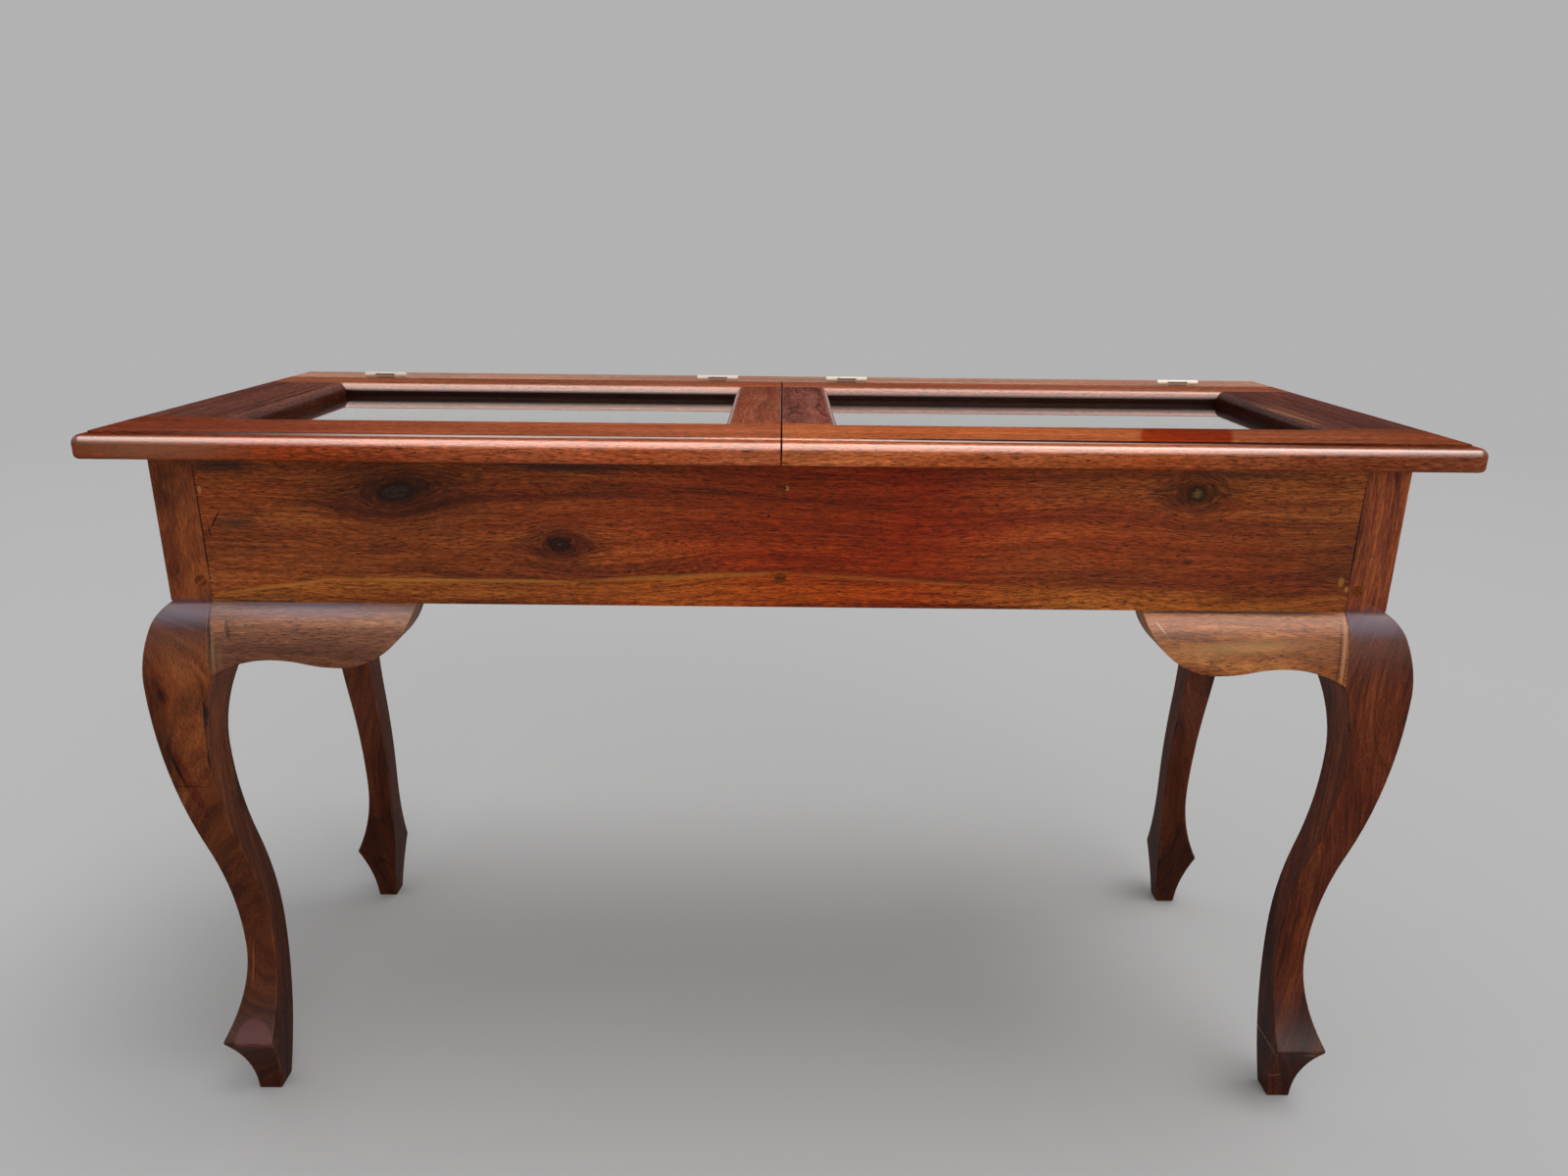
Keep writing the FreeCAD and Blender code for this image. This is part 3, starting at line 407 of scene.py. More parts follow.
def drawFigure(wood, colour):
    # dark streaks, fibres, growth lines, and the change of tone along the board
    tree, look, rings = wood["tree"], wood["look"], wood["rings"]
    longest, wide = look["bandLength"], look["bandWidth"]
    along, across = look["streakScale"]
    streaks = stretchedNoise(tree, rings, (along / longest, across / wide, 1.0), detail=5.0, rough=0.6,
                             offset=(3.0, 7.0, 0.0))
    dark = addNode(tree, "MapRange", smooth, {
        "Value": streaks, "From Min": look["streakShare"],
        "From Max": look["streakShare"] + look["streakSoft"], "To Max": look["streakMost"]})
    colour = addNode(tree, "Mix", colours, {"Factor": dark, "A": colour, "B": look["streak"]})
    fibres = stretchedNoise(tree, wood["flow"], look["fibreScale"], detail=3.0, rough=0.7)
    swing = look["fibreSwing"]
    value = addNode(tree, "MapRange", {"clamp": False}, {
        "Value": fibres, **noiseSpan, "To Min": 1 - swing, "To Max": 1 + swing})
    swing = look["toneSwing"]
    slowValue = addNode(tree, "MapRange", {}, {
        "Value": wood["slow"], **noiseSpan, "To Min": 1 - swing, "To Max": 1 + swing})
    value = addNode(tree, "Math", times, {0: value, 1: slowValue})
    # thin dark lines at equal heights of a smooth noise, which close round the knots as growth rings do
    along, across = look["contourScale"]
    even = stretchedNoise(tree, rings, (along / longest, across / wide, 1.0), detail=1.0, rough=0.4,
                          offset=(9.0, 2.0, 0.0))
    even = addNode(tree, "Math", timesPlus, {0: fibres, 1: look["contourWaver"], 2: even})
    even = addNode(tree, "Math", times, {0: even, 1: look["contours"]})
    even = addNode(tree, "Math", {"operation": "PINGPONG"}, {0: even, 1: 0.5})
    thin = addNode(tree, "MapRange", smooth, {
        "Value": even, "From Min": 0.0, "From Max": look["contourWidth"], "To Max": look["contourShare"]})
    value = addNode(tree, "Math", timesPlus, {0: value, 1: thin, 2: value})
    value = addNode(tree, "Math", times, {0: value, 1: 1 / (1 + look["contourShare"])})
    colour = addNode(tree, "HueSaturation", {}, {"Color": colour, "Value": value})
    if look["casts"]:
        along = addNode(tree, "MapRange", {}, {
            "Value": wood["along"], "From Min": look["casts"]["from"], "From Max": look["casts"]["to"]})
        cast = addNode(tree, "ValToRGB", {}, {"Fac": along}, look["casts"]["stops"])
        colour = addNode(tree, "Mix", {**colours, "blend_type": "MULTIPLY"}, {
            "Factor": 1.0, "A": colour, "B": cast})
    wood["fibres"] = fibres
    return colour


# the edges of every knot, in half sizes from its middle
knotEdges = {"haloRagged": 0.9, "haloFade": (1.6, 0.6), "coreRagged": 0.6, "coreFade": (1.3, 0.6)}


def drawKnots(wood, colour):
    # each knot has a dark halo with a ragged edge, and rings inside
    tree, fibres, ragged = wood["tree"], wood["fibres"], knotEdges["coreRagged"]
    for length, knot in wood["cores"]:
        halo = distanceFrom(tree, wood["real"], knot["place"], knot["haloSize"])[1]
        halo = addNode(tree, "Math", timesPlus, {0: fibres, 1: knotEdges["haloRagged"], 2: halo})
        far, near = knotEdges["haloFade"]
        share = addNode(tree, "MapRange", smooth, {
            "Value": halo, "From Min": far, "From Max": near, "To Max": knot["halo"]})
        colour = addNode(tree, "Mix", colours, {"Factor": share, "A": colour, "B": knot["haloColour"]})
        wobble = addNode(tree, "Math", timesPlus, {0: fibres, 1: ragged, 2: length})
        wobble = addNode(tree, "Math", minus, {0: wobble, 1: ragged / 2})
        core = addNode(tree, "ValToRGB", {}, {"Fac": wobble}, knot["rings"])
        far, near = knotEdges["coreFade"]
        share = addNode(tree, "MapRange", smooth, {"Value": wobble, "From Min": far, "From Max": near})
        colour = addNode(tree, "Mix", colours, {"Factor": share, "A": colour, "B": core})
    return colour


def drawPores(wood, colour):
    # open pores, short dark strokes that follow the grain
    tree, look = wood["tree"], wood["look"]
    pores = stretchedNoise(tree, wood["flow"], look["poreScale"], detail=2.0, rough=0.6,
                           offset=(5.0, 3.0, 9.0))
    pores = addNode(tree, "MapRange", {}, {
        "Value": pores, "From Min": look["poreFrom"], "From Max": look["poreFrom"] + look["poreSoft"]})
    share = addNode(tree, "Math", times, {0: pores, 1: look["poreShare"]})
    wood["pores"] = pores
    return addNode(tree, "Mix", colours, {"Factor": share, "A": colour, "B": look["poreColour"]})


def drawMarks(wood, colour):
    tree, real = wood["tree"], wood["real"]
    for mark in wood["look"]["marks"]:
        length = distanceFrom(tree, real, mark["place"], mark["size"], mark["lean"], mark["face"])[1]
        rough = addNode(tree, "Math", timesPlus, {0: wood["fibres"], 1: mark["ragged"], 2: length})
        edge = 1.0 + mark["ragged"] / 2
        inside = addNode(tree, "MapRange", smooth, {
            "Value": rough, "From Min": edge, "From Max": edge - mark["soft"], "To Max": mark["share"]})
        if mark["above"]:
            height = addNode(tree, "SeparateXYZ", {}, {0: real}).outputs[2]
            higher = addNode(tree, "Math", {"operation": "GREATER_THAN"}, {0: height, 1: mark["above"]})
            inside = addNode(tree, "Math", times, {0: inside, 1: higher})
        colour = addNode(tree, "Mix", {**colours, "blend_type": mark["blend"]}, {
            "Factor": inside, "A": colour, "B": mark["colour"]})
    return colour


def paintRecessShade(wood, colour):
    # painted shade darkens the wall above the pane, where the opening is in shadow
    tree, look = wood["tree"], wood["look"]
    if not look["recess"]:
        return colour
    axis, start, end = look["recess"]
    split = addNode(tree, "SeparateXYZ", {}, {0: wood["real"]})
    toWall = addNode(tree, "MapRange", smooth, {
        "Value": split.outputs[axis], "From Min": start, "From Max": end})
    down = addNode(tree, "MapRange", smooth, {
        "Value": split.outputs[2], "From Min": lidOpening["clean"], "From Max": lidOpening["dark"],
        "To Max": look["recessShare"]})
    share = addNode(tree, "Math", times, {0: toWall, 1: down})
    return addNode(tree, "Mix", colours, {"Factor": share, "A": colour, "B": look["recessColour"]})


def woodFinish(name, board):
    # varnished or waxed solid wood: a deep colour under a clear coat, with open pores
    look = {**woodUsual, **board}
    material, tree = newMaterial(name)
    coords = addNode(tree, "TexCoord")
    real = addNode(tree, "Mapping", {}, {"Vector": coords.outputs["Object"], "Scale": perMetre})
    grain = addNode(tree, "Mapping", {}, {"Vector": real, "Rotation": grainTurns[look["grain"]]})
    wood = {"tree": tree, "look": look, "real": real, "grain": grain}
    bendGrain(wood)
    colour = drawBands(wood)
    for step in (drawSapwood, drawFigure, drawKnots, drawPores, drawMarks, paintRecessShade):
        colour = step(wood, colour)
    # the varnish is rubbed through in places along the arrises
    worn = addNode(tree, "Attribute", {"attribute_type": "GEOMETRY", "attribute_name": "wear"})
    rubbed = stretchedNoise(tree, grain, look["wearScale"], detail=4.0, rough=0.7)
    least, most = look["wearSpan"]
    rubbed = addNode(tree, "MapRange", {}, {
        "Value": rubbed, "From Min": least, "From Max": most, "To Max": look["wearShare"]})
    share = addNode(tree, "Math", times, {0: worn.outputs["Fac"], 1: rubbed})
    colour = addNode(tree, "Mix", colours, {"Factor": share, "A": colour, "B": look["wearColour"]})
    gloss = look["gloss"]
    if isinstance(gloss, list):
        # the varnish is thicker and shinier on the rounded edges than on flat faces
        slope = addNode(tree, "SeparateXYZ", {}, {0: coords.outputs["Normal"]})
        gloss = addNode(tree, "ValToRGB", {}, {"Fac": slope.outputs[2]}, gloss)
    dull = addNode(tree, "Math", timesPlus, {0: wood["pores"], 1: look["poreDull"], 2: look["roughness"]})
    height = addNode(tree, "Math", timesPlus, {
        0: wood["pores"], 1: -look["poreDepth"], 2: wood["fibres"]})
    bump = addNode(tree, "Bump", {}, {
        "Strength": look["bump"], "Distance": look["bumpDepth"] * mm, "Height": height})
    shader = addNode(tree, "BsdfPrincipled", {}, {
        "Base Color": colour, "Roughness": dull, "IOR": 1.5, "Specular IOR Level": look["specular"],
        "Coat Weight": gloss, "Coat Roughness": look["coatRoughness"], "Coat IOR": look["coatIndex"],
        "Normal": bump, "Coat Normal": bump})
    addNode(tree, "OutputMaterial", {}, {"Surface": shader})
    return material


arris = {
    "leg": 2,  # mm
    "kneeBlock": 1.2,
    "board": 0.3,
    "segments": 3,
    "softenFrom": 24,  # degrees; flatter edges belong to a curve and stay
    "hardLine": 40,  # degrees; sharper edges keep a hard line in the shading
    "seam": 0.01,  # mm; points closer than this become one
    "flat": 0.4,  # degrees; faces that differ less become one
    "legAbove": 0.5,  # mm above the underside of the aprons, where a leg's soft arrises end
}


def dressed(nodeName, look, chosen, width):
    # a merged copy of the CAD piece with softened arrises, which replaces it
    block = bmesh.new()
    block.from_mesh(frame["nodes"][nodeName].data)
    bmesh.ops.remove_doubles(block, verts=block.verts, dist=arris["seam"] * mm)
    bmesh.ops.dissolve_limit(block, angle_limit=math.radians(arris["flat"]), verts=block.verts,
                             edges=block.edges)
    wear = block.faces.layers.float.new("wear")
    least = math.radians(arris["softenFrom"])
    edges = [edge for edge in block.edges
             if edge.is_manifold and edge.calc_face_angle_signed() > least and chosen(edge)]
    if edges:
        made = bmesh.ops.bevel(block, geom=edges, offset=width * mm, offset_type="OFFSET",
                               segments=arris["segments"], profile=0.5, affect="EDGES",
                               clamp_overlap=True, material=-1)
        for face in made["faces"]:
            face[wear] = 1.0
    mesh = bpy.data.meshes.new(nodeName + "_dressed")
    block.to_mesh(mesh)
    block.free()
    mesh.shade_smooth()
    mesh.set_sharp_from_angle(angle=math.radians(arris["hardLine"]))
    mesh.materials.append(woodFinish("varnishedMahogany_" + nodeName, look))
    piece = bpy.data.objects.new(nodeName + "_dressed", mesh)
    bpy.context.scene.collection.objects.link(piece)
    shading = piece.modifiers.new("evenShading", "WEIGHTED_NORMAL")
    shading.keep_sharp = True
    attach(piece, bodyOf[nodeName])
    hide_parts(nodeName)


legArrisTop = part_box("apron_front")[0].z + arris["legAbove"] * mm


def legArris(edge):
    # the square top of a leg keeps its arrises crisp, where the aprons meet it
    return (edge.verts[0].co.z + edge.verts[1].co.z) / 2 < legArrisTop


def anyEdge(edge):
    return True


# the knee is darker, and the post above it lighter
kneeCasts = [(0.76, "#a09a9c"), (0.795, "#a09a9c"), (0.805, "#f4f0ec"), (1, "#ffffff")]
legLook = {
    "grain": "z", "fibreSwing": 0.4, "poreShare": 0.6, "contours": 10, "contourShare": 0.45,
    "bandWidth": 14, "bandLength": 300, "lineShare": 0.5, "drift": 9, "streakShare": 0.55,
    "deep": "#4c2212", "body": "#84421f", "light": "#a45a2c", "streak": "#1b0905", "patch": "#7e3418",
    "gloss": [(0, 0.05), (0.2, 0.1), (0.5, 0.26), (1, 0.4)], "coatRoughness": 0.28,
    "specular": 0.05, "wearShare": 0.2,
    "casts": {  # darker towards the foot
        "from": 0, "to": 548,
        "stops": [(0, "#787078"), (0.13, "#6c6268"), (0.18, "#827676"), (0.35, "#968a88"), (0.6, "#bcb2ae"),
                  (0.71, "#c4bcb8")] + kneeCasts},
}
legBoards = {
    "leg_front_left": {
        "seed": 1.3, "pith": (30, 395), "body": "#8a4822", "light": "#ac6434",
        "marks": (
            # painted sheen: a bluish reflection of the sky on the shoulder
            markAt((-430, 431), (60, 13), "#4a4c64", share=0.55, soft=1, ragged=0.3),
            # a scratch, then darker streaks down the shin and inside it
            markAt((-445, 295.5), (17, 0.6), "#1c0b06", lean=-1, share=0.8),
            markAt((-449.5, 311), (2.6, 30), "#160804", lean=12, soft=0.9, ragged=0.3),
            markAt((-444, 300), (6, 42), "#c08468", lean=12, share=0.7, soft=0.6, ragged=0.3,
                   blend="MULTIPLY"),
            markAt((-449, 372), (5, 11), "#6c5048", lean=12, share=0.8, soft=1.1, ragged=0.3,
                   blend="MULTIPLY"),
            markAt((-422.4, -172, 342), (1.3, 6, 44), "#120705", lean=-6, ragged=1.2),
            markAt((-140, 270), (9, 24), "#5c4a48", face="side", share=0.7, soft=1, blend="MULTIPLY"),
            # arched figure above the foot
            markAt((-436, -147, 140), (0.9, 12, 26), "#94501e", lean=-8, share=0.5),
            markAt((-430, -149, 122), (0.9, 12, 24), "#94501e", lean=-6, share=0.45),
            # the darker, purplish upper face of the toe, and its edge
            markAt((-430, -163, 52), (17, 20, 27), "#5e3234", share=0.55, soft=0.12, ragged=0.1, above=53),
            markAt((-438, 52.6), (26, 0.5), "#2c1410"),
        ),
    },
    "leg_front_right": {
        "seed": 4.1, "pith": (-90, -360), "body": "#7c3c22",
        "casts": {
            "from": 0, "to": 548,
            "stops": [(0, "#787078"), (0.13, "#7c7278"), (0.2, "#a49694"), (0.35, "#aea09c"),
                      (0.6, "#b8aeaa"), (0.71, "#bab2ae")] + kneeCasts},
        "marks": (
            # a painted bluish sheen of the sky on the shoulder, a dark streak, and the edge of the toe with
            # its chips and scratches
            markAt((430, 431), (60, 13), "#4a4c64", share=0.55, soft=1, ragged=0.3),
            markAt((416.5, -172, 368), (1.3, 6, 26), "#120705", lean=17, ragged=1.2),
            markAt((431, 52.6), (26, 0.5), "#2c1410"),
            markAt((411, 53.6), (5, 0.8), "#c09a80", ragged=1.4),
            markAt((444, 53), (7, 0.4), "#b08a70", share=0.7, ragged=1.4),
            markAt((414, 30), (0.5, 8), "#8a6450", lean=25, share=0.6),
            markAt((423, 24), (7, 0.5), "#8a6450", lean=12, share=0.6),
        ),
    },
    "leg_rear_left": {"seed": 7.9, "pith": (60, 380)},
    "leg_rear_right": {"seed": 9.2, "pith": (-60, -380)},
}

apronLook = {
    "deep": "#5c2c16", "body": "#844019", "light": "#a25a28", "streak": "#3a170c",
    "patch": "#86300e", "bandWidth": 13, "drift": 12, "lineShare": 0.45, "lineWidth": 1.5,
    "gloss": [(0, 0.08), (0.6, 0.2), (1, 0.06)],  # the top edges, under the lids, are bare
    "specular": 0.04,
}
apronBoards = {
    "apron_front": {
        "seed": 2.7, "pith": (-60, 380),
        "casts": {  # redder near the middle
            "from": -400, "to": 400,
            "stops": [(0, "#e6e8ea"), (0.3, "#f2e6e2"), (0.5, "#f2b080"), (0.62, "#f8a468"),
                      (0.75, "#fff0ec"), (1, "#ffffff")]},
        "sapwood": {
            "level": 438, "reach": 40, "soft": 3, "ragged": 5, "colour": "#ba7626",
            "from": -402, "to": 402,
            "lineSpan": (0.38, 0.6), "lineLeast": 0.25,
            # its upper edge, as a share of the reach above the level
            "edge": [(0, 0.17), (0.11, 0.47), (0.24, 0.45), (0.33, 0.47), (0.42, 0.6), (0.5, 0.66),
                     (0.59, 0.57), (0.68, 0.47), (0.86, 0.36), (1, 0.3)],
            "strength": [(0, 0.32), (0.3, 0.22), (0.42, 0.5), (0.6, 0.5), (0.72, 0.42), (0.85, 0.3),
                         (1, 0.2)]},
        "knots": (
            {"place": (-271, 521), "size": (17, 8), "lean": 8, "halo": 0.85, "haloSize": (70, 28),
             "haloColour": "#331408", "rings": [(0, "#332a22"), (0.3, "#281b13"), (0.45, "#33261d"),
                                                (0.65, "#1b0d08"), (0.9, "#2c140a")]},
            {"place": (-158, 483.5), "size": (8.5, 5.4), "lean": -6, "halo": 0.85, "haloSize": (38, 22),
             "haloColour": "#38120a", "rings": [(0, "#4a3226"), (0.25, "#1c0d08"), (0.5, "#2c1810"),
                                                (0.8, "#140705")]},
            {"place": (293.5, 525), "size": (8.5, 7.5), "halo": 0.75, "haloSize": (46, 22),
             "haloColour": "#38160a", "rings": [(0, "#8a6a34"), (0.3, "#5c4020"), (0.6, "#2a150a"),
                                                (0.9, "#43200e")]},
        ),
        "marks": (
            # lines in the sapwood
            markAt((-358, 451), (50, 1.6), "#b07630", lean=7.8, share=0.5, ragged=1.6),
            markAt((-227, 456), (100, 1.6), "#b07630", share=0.5, ragged=1.6),
            markAt((-68, 460.5), (80, 2.2), "#b0742e", lean=3, share=0.4, ragged=2),
            markAt((75, 459.5), (80, 1.6), "#a86a2c", lean=-3, share=0.3, ragged=2),
            markAt((110, 461), (120, 1.3), "#5a260e", lean=-3.4, share=0.5, soft=0.8, ragged=1.8),
            # darker along the lower edge, then dirt with painted shade under the top, and dirt at the left
            # end
            markAt((-200, 439), (212, 5), "#b09c90", blend="MULTIPLY", share=0.8, soft=1, ragged=1.2),
            markAt((120, 439.5), (130, 4), "#7c5c50", blend="MULTIPLY", share=0.7, soft=0.9, ragged=1.8),
            markAt((-147, 540), (84, 7), "#33221a", share=0.85, soft=1, ragged=1.2),
            markAt((-390, 539), (38, 9), "#2c221c", share=0.8, soft=1),
            markAt((-387, 497), (27, 11), "#33241a", share=0.75, soft=1.1),
            markAt((330, 539), (78, 6), "#382418", share=0.7, soft=1.1),
            # cracks, then two small flecks
            markAt((-401, 500), (0.8, 9.5), "#120603", lean=-32),
            markAt((-406.5, 491), (0.7, 5), "#120603", lean=6),
            markAt((293, 474), (6, 2.6), "#3c1208", share=0.7, soft=0.8),
            markAt((280, 492), (8, 2.6), "#4a1a0c", share=0.5, soft=1),
            # the plugs, a pinhole, and filler at the ends
            markAt((3.5, 526), (2.6, 2.4), "#a5793c", share=0.8),
            markAt((0, 526), (4.7, 4.6), "#2a1109", share=0.6, ragged=0.6),
            markAt((0, 460), (5.2, 4.4), "#1e0c06", share=0.8),
            markAt((-8.5, 506), (1.3, 1.2), "#120604", share=1),
            markAt((-409, 521), (1.6, 3.6), "#9a7438", share=0.7),
            markAt((405.5, 461), (2.6, 4.4), "#9c642c", share=0.75, ragged=1.4),
            markAt((410.5, 455.5), (1.8, 2.6), "#a87232", share=0.75, ragged=1.2),
            # the joints with the posts
            markAt((-411.6, 492), (1, 56), "#120704", ragged=1.8),
            markAt((411.6, 498), (1, 50), "#120704", ragged=1.8),
        ),
    },
    "apron_rear": {"seed": 12, "pith": (60, 560)},
    "apron_left": {"grain": "y", "seed": 14, "pith": (500, 380)},
    "apron_right": {"grain": "y", "seed": 16, "pith": (-500, 380)},
}

kneeBlockLook = {
    "bandWidth": 7, "lineWidth": 1.3, "lineShare": 0.5, "drift": 5, "streakShare": 0.54,
    "pith": (100, 380),
    "gloss": [(0, 0.04), (0.3, 0.14), (0.6, 0.5), (1, 0.6)], "coatRoughness": 0.26, "specular": 0.05,
}
kneeBlockBoards = {
    "knee_block_front_left": {
        "deep": "#482a18", "body": "#6c412a", "light": "#885838", "streak": "#25130b", "patch": "#603220",
        "gloss": [(0, 0.04), (0.3, 0.1), (0.6, 0.35), (1, 0.45)], "streakMost": 0.75,
        "marks": (
            # a painted bluish sheen of the sky on the top, the joint with the leg, glue and a crack
            markAt((-340, 436), (110, 10), "#66667a", share=0.5, soft=1, ragged=0.5),
            markAt((-410.5, 412), (1.1, 40), "#160a06", lean=4, ragged=1.6),
            markAt((-404, 400), (4, 14), "#7a5a42", share=0.35, soft=0.8, ragged=1.4),
            markAt((-398, 421), (2, 9), "#1c0f0a", lean=12, share=0.6),
            markAt((-408.8, 400), (1.8, 20), "#8c6a48", share=0.5, ragged=2.8),
        ),
    },
    "knee_block_front_right": {
        "deep": "#603618", "body": "#8e5226", "light": "#b67a40", "streak": "#341a0e", "patch": "#8a481e",
        "streakMost": 0.75,
        "marks": (
            # glue at the joint, a chip, the shadow under the apron, and uneven stain
            markAt((408.6, 410), (1.5, 32), "#b8865c", lean=-3, share=0.6, ragged=2.2),
            markAt((405.4, 410), (0.8, 32), "#3a1c10", lean=-3, share=0.8, ragged=1.4),
            markAt((276, 428), (0.7, 6), "#cbbba8", lean=40, share=0.6, ragged=2.6),
            markAt((330, 437.4), (92, 0.9), "#0c0504", ragged=0.6),
            markAt((335, 415), (70, 7), "#d0a060", lean=3, share=0.35, soft=1, ragged=1.6),
            markAt((300, 396), (60, 9), "#c89888", share=0.6, soft=1, ragged=1.2, blend="MULTIPLY"),
        ),
    },
}

lidOpening = {
    "outer": 398,  # mm, from the middle of the table
    "inner": 41.65,
    "front": -115,
    "back": 93.1,
    "fade": 6,  # how far out the rounded edge stays dark
    "wall": 1,
    "clean": 563.5,  # heights between which painted shade darkens the wall of the opening
    "dark": 558.5,
}
topGloss = [(0, 0.04), (0.15, 0.22), (0.4, 0.8), (0.6, 1), (0.78, 1), (0.92, 0.1)]
topLook = {
    "bandWidth": 9, "drift": 5, "lineWidth": 1.4, "lineShare": 0.5, "pith": (-100, 500),
    "patch": "#a2420f",
    "gloss": topGloss + [(1, 0.035)], "coatRoughness": 0.27, "coatIndex": 1.62, "specular": 0,
    "bump": 0.05, "streak": "#481808",
}
stileGloss = [(0, 0.05), (0.3, 0.2), (0.8, 0.3), (0.985, 0.05)]
topBoards = {
    "left_lid_front_rail": {
        "deep": "#8b4628", "body": "#a45432", "light": "#b8633c", "seed": 21,
        "casts": {
            "from": -475, "to": 0,
            "stops": [(0, "#ac9684"), (0.12, "#b8a498"), (0.35, "#e0ccc2"), (0.55, "#ffffff")]},
        "marks": (
            # painted shade on the underside of the rounded edge, stain at its end, and a dark line where
            # the flat begins that paints the shadow of a small step
            markAt((-237, -186, 551), (240, 5, 9.5), "#c8b4ac", blend="MULTIPLY", share=1, soft=1,
                   ragged=0.2),
            markAt((-420, -187, 556), (95, 9, 14), "#8c6248", share=0.5, soft=1),
            markAt((-237, -177.7), (238, 0.8), "#3c160a", face="top", ragged=0.5, above=563.7),
        ),
    },
    "right_lid_front_rail": {
        "deep": "#985029", "body": "#b5643a", "light": "#cb7544", "seed": 24,
        "gloss": topGloss + [(1, 0.025)],
        "casts": {
            "from": 0, "to": 475,
            "stops": [(0, "#ffffff"), (0.5, "#fff8f0"), (0.68, "#d6ced6"), (1, "#b2acb8")]},
        "marks": (
            # a redder, more saturated patch that paints a place where the varnish shows no reflection of
            # the sky
            markAt((283, -148), (32, 110), "#da8604", face="top", lean=-21, blend="MULTIPLY", share=1,
                   soft=0.12, ragged=0.12, above=565.5),
            # painted shade on the underside of the rounded edge, and a dark line where the flat begins that
            # paints the shadow of a small step
            markAt((237, -186, 551), (240, 5, 9.5), "#c8b4ac", blend="MULTIPLY", share=1, soft=1,
                   ragged=0.2),
            markAt((237, -177.7), (238, 0.8), "#3c160a", face="top", ragged=0.5, above=563.7),
        ),
    },
    "left_lid_back_rail": {
        "deep": "#6c3820", "body": "#8c4c30", "light": "#a46040", "seed": 27,
        "gloss": [(0, 0.04), (0.2, 0.4), (0.35, 0.8), (0.78, 0.8), (0.92, 0.1), (1, 0.035)],
    },
    "right_lid_back_rail": {
        "deep": "#6c3820", "body": "#8c4c34", "light": "#a46044", "seed": 30,
        "gloss": [(0, 0.04), (0.2, 0.3), (0.35, 0.5), (0.78, 0.6), (0.92, 0.1), (1, 0.035)],
    },
    "rear_top_rail": {
        "deep": "#804a2e", "body": "#a06442", "light": "#b87c54", "seed": 33,
        "gloss": [(0, 0.04), (0.2, 0.4), (0.35, 1), (0.78, 1), (0.92, 0.3), (1, 0.3)],
    },
    "left_lid_outer_stile": {
        "grain": "y", "deep": "#42201a", "body": "#5e3022", "light": "#784430", "seed": 36,
        "patch": "#521e10", "gloss": stileGloss, "recessColour": "#2c140c", "recessShare": 0.35,
        "marks": (
            # the line along the opening
            markAt((-405, -10), (1.1, 108), "#190a06", face="top", share=0.85, above=560),
        ),
    },
    "right_lid_outer_stile": {
        "grain": "y", "deep": "#3e1c18", "body": "#582c22", "light": "#703e32", "seed": 39,
        "patch": "#521e10", "gloss": stileGloss, "recessColour": "#2c140c", "recessShare": 0.5,
        "marks": (
            # the line along the opening, and paler lines beside it
            markAt((405.5, -10), (1.1, 108), "#190a06", face="top", share=0.85, above=560),
            markAt((402, -45), (0.7, 62), "#b07448", face="top", lean=1, share=0.7, ragged=1.4, above=556),
            markAt((405, -30), (6, 88), "#8e543a", face="top", lean=1, share=0.45, soft=1, ragged=1.8,
                   above=556),
            markAt((411, -20), (0.8, 80), "#94603e", face="top", lean=-1.5, share=0.6, ragged=1.6,
                   above=560),
        ),
    },
    "left_lid_centre_stile": {
        "grain": "y", "deep": "#643220", "body": "#844630", "light": "#9c5a40", "seed": 42,
        "drift": 12, "driftLength": 120, "patch": "#8c3c20",
    },
    "right_lid_centre_stile": {
        "grain": "y", "deep": "#4c2420", "body": "#784034", "light": "#925648", "seed": 45,
        "drift": 20, "driftLength": 70, "lineWidth": 2.4, "patch": "#7c3c28",
    },
}


def recessOf(nodeName):
    # the wall of the glazed opening on a piece of a lid: axis, start and end of its painted shade, in mm
    fade, wall = lidOpening["fade"], lidOpening["wall"]
    side = -1 if nodeName.startswith("left") else 1
    if "back_rail" in nodeName:
        return 1, lidOpening["back"] + fade, lidOpening["back"] + wall
    if "front_rail" in nodeName:
        return 1, lidOpening["front"] - fade, lidOpening["front"] - wall
    if "outer_stile" in nodeName:
        return 0, side * (lidOpening["outer"] + fade), side * (lidOpening["outer"] + wall)
    if "centre_stile" in nodeName:
        return 0, side * (lidOpening["inner"] - fade), side * (lidOpening["inner"] - wall)
    return None


hiddenSeeds = {"start": 50, "step": 3.7}  # of the pieces that have no entry of their own


def makeWoodwork():
    for boards, usual, chosen, width in ((legBoards, legLook, legArris, arris["leg"]),
                                         (apronBoards, apronLook, anyEdge, arris["board"]),
                                         (topBoards, topLook, anyEdge, arris["board"])):
        for nodeName, board in boards.items():
            dressed(nodeName, {**usual, "recess": recessOf(nodeName), **board}, chosen, width)
    seed = hiddenSeeds["start"]
    for nodeName in frame["nodes"]:
        seed += hiddenSeeds["step"]
        if nodeName.startswith("knee_block"):
            along = "x" if nodeName.split("_")[2] in ("front", "rear") else "y"
            board = kneeBlockBoards.get(nodeName, kneeBlockBoards["knee_block_front_left"])
            look = {**kneeBlockLook, "grain": along, "seed": seed, **board}
            dressed(nodeName, look, anyEdge, arris["kneeBlock"])
        elif slotOf[nodeName] in ("bead_mahogany", "divider_mahogany"):
            low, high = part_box(nodeName)
            along = "x" if high.x - low.x > high.y - low.y else "y"
            look = {**apronLook, "grain": along, "seed": seed, "pith": (100, 500)}
            dressed(nodeName, look, anyEdge, arris["board"])


glass = {
    "colour": "#dce4e0",
    "shadow": "#f2f6f4",  # what its shadow lets through
    "roughness": 0.02,
    "index": 1.52,
}


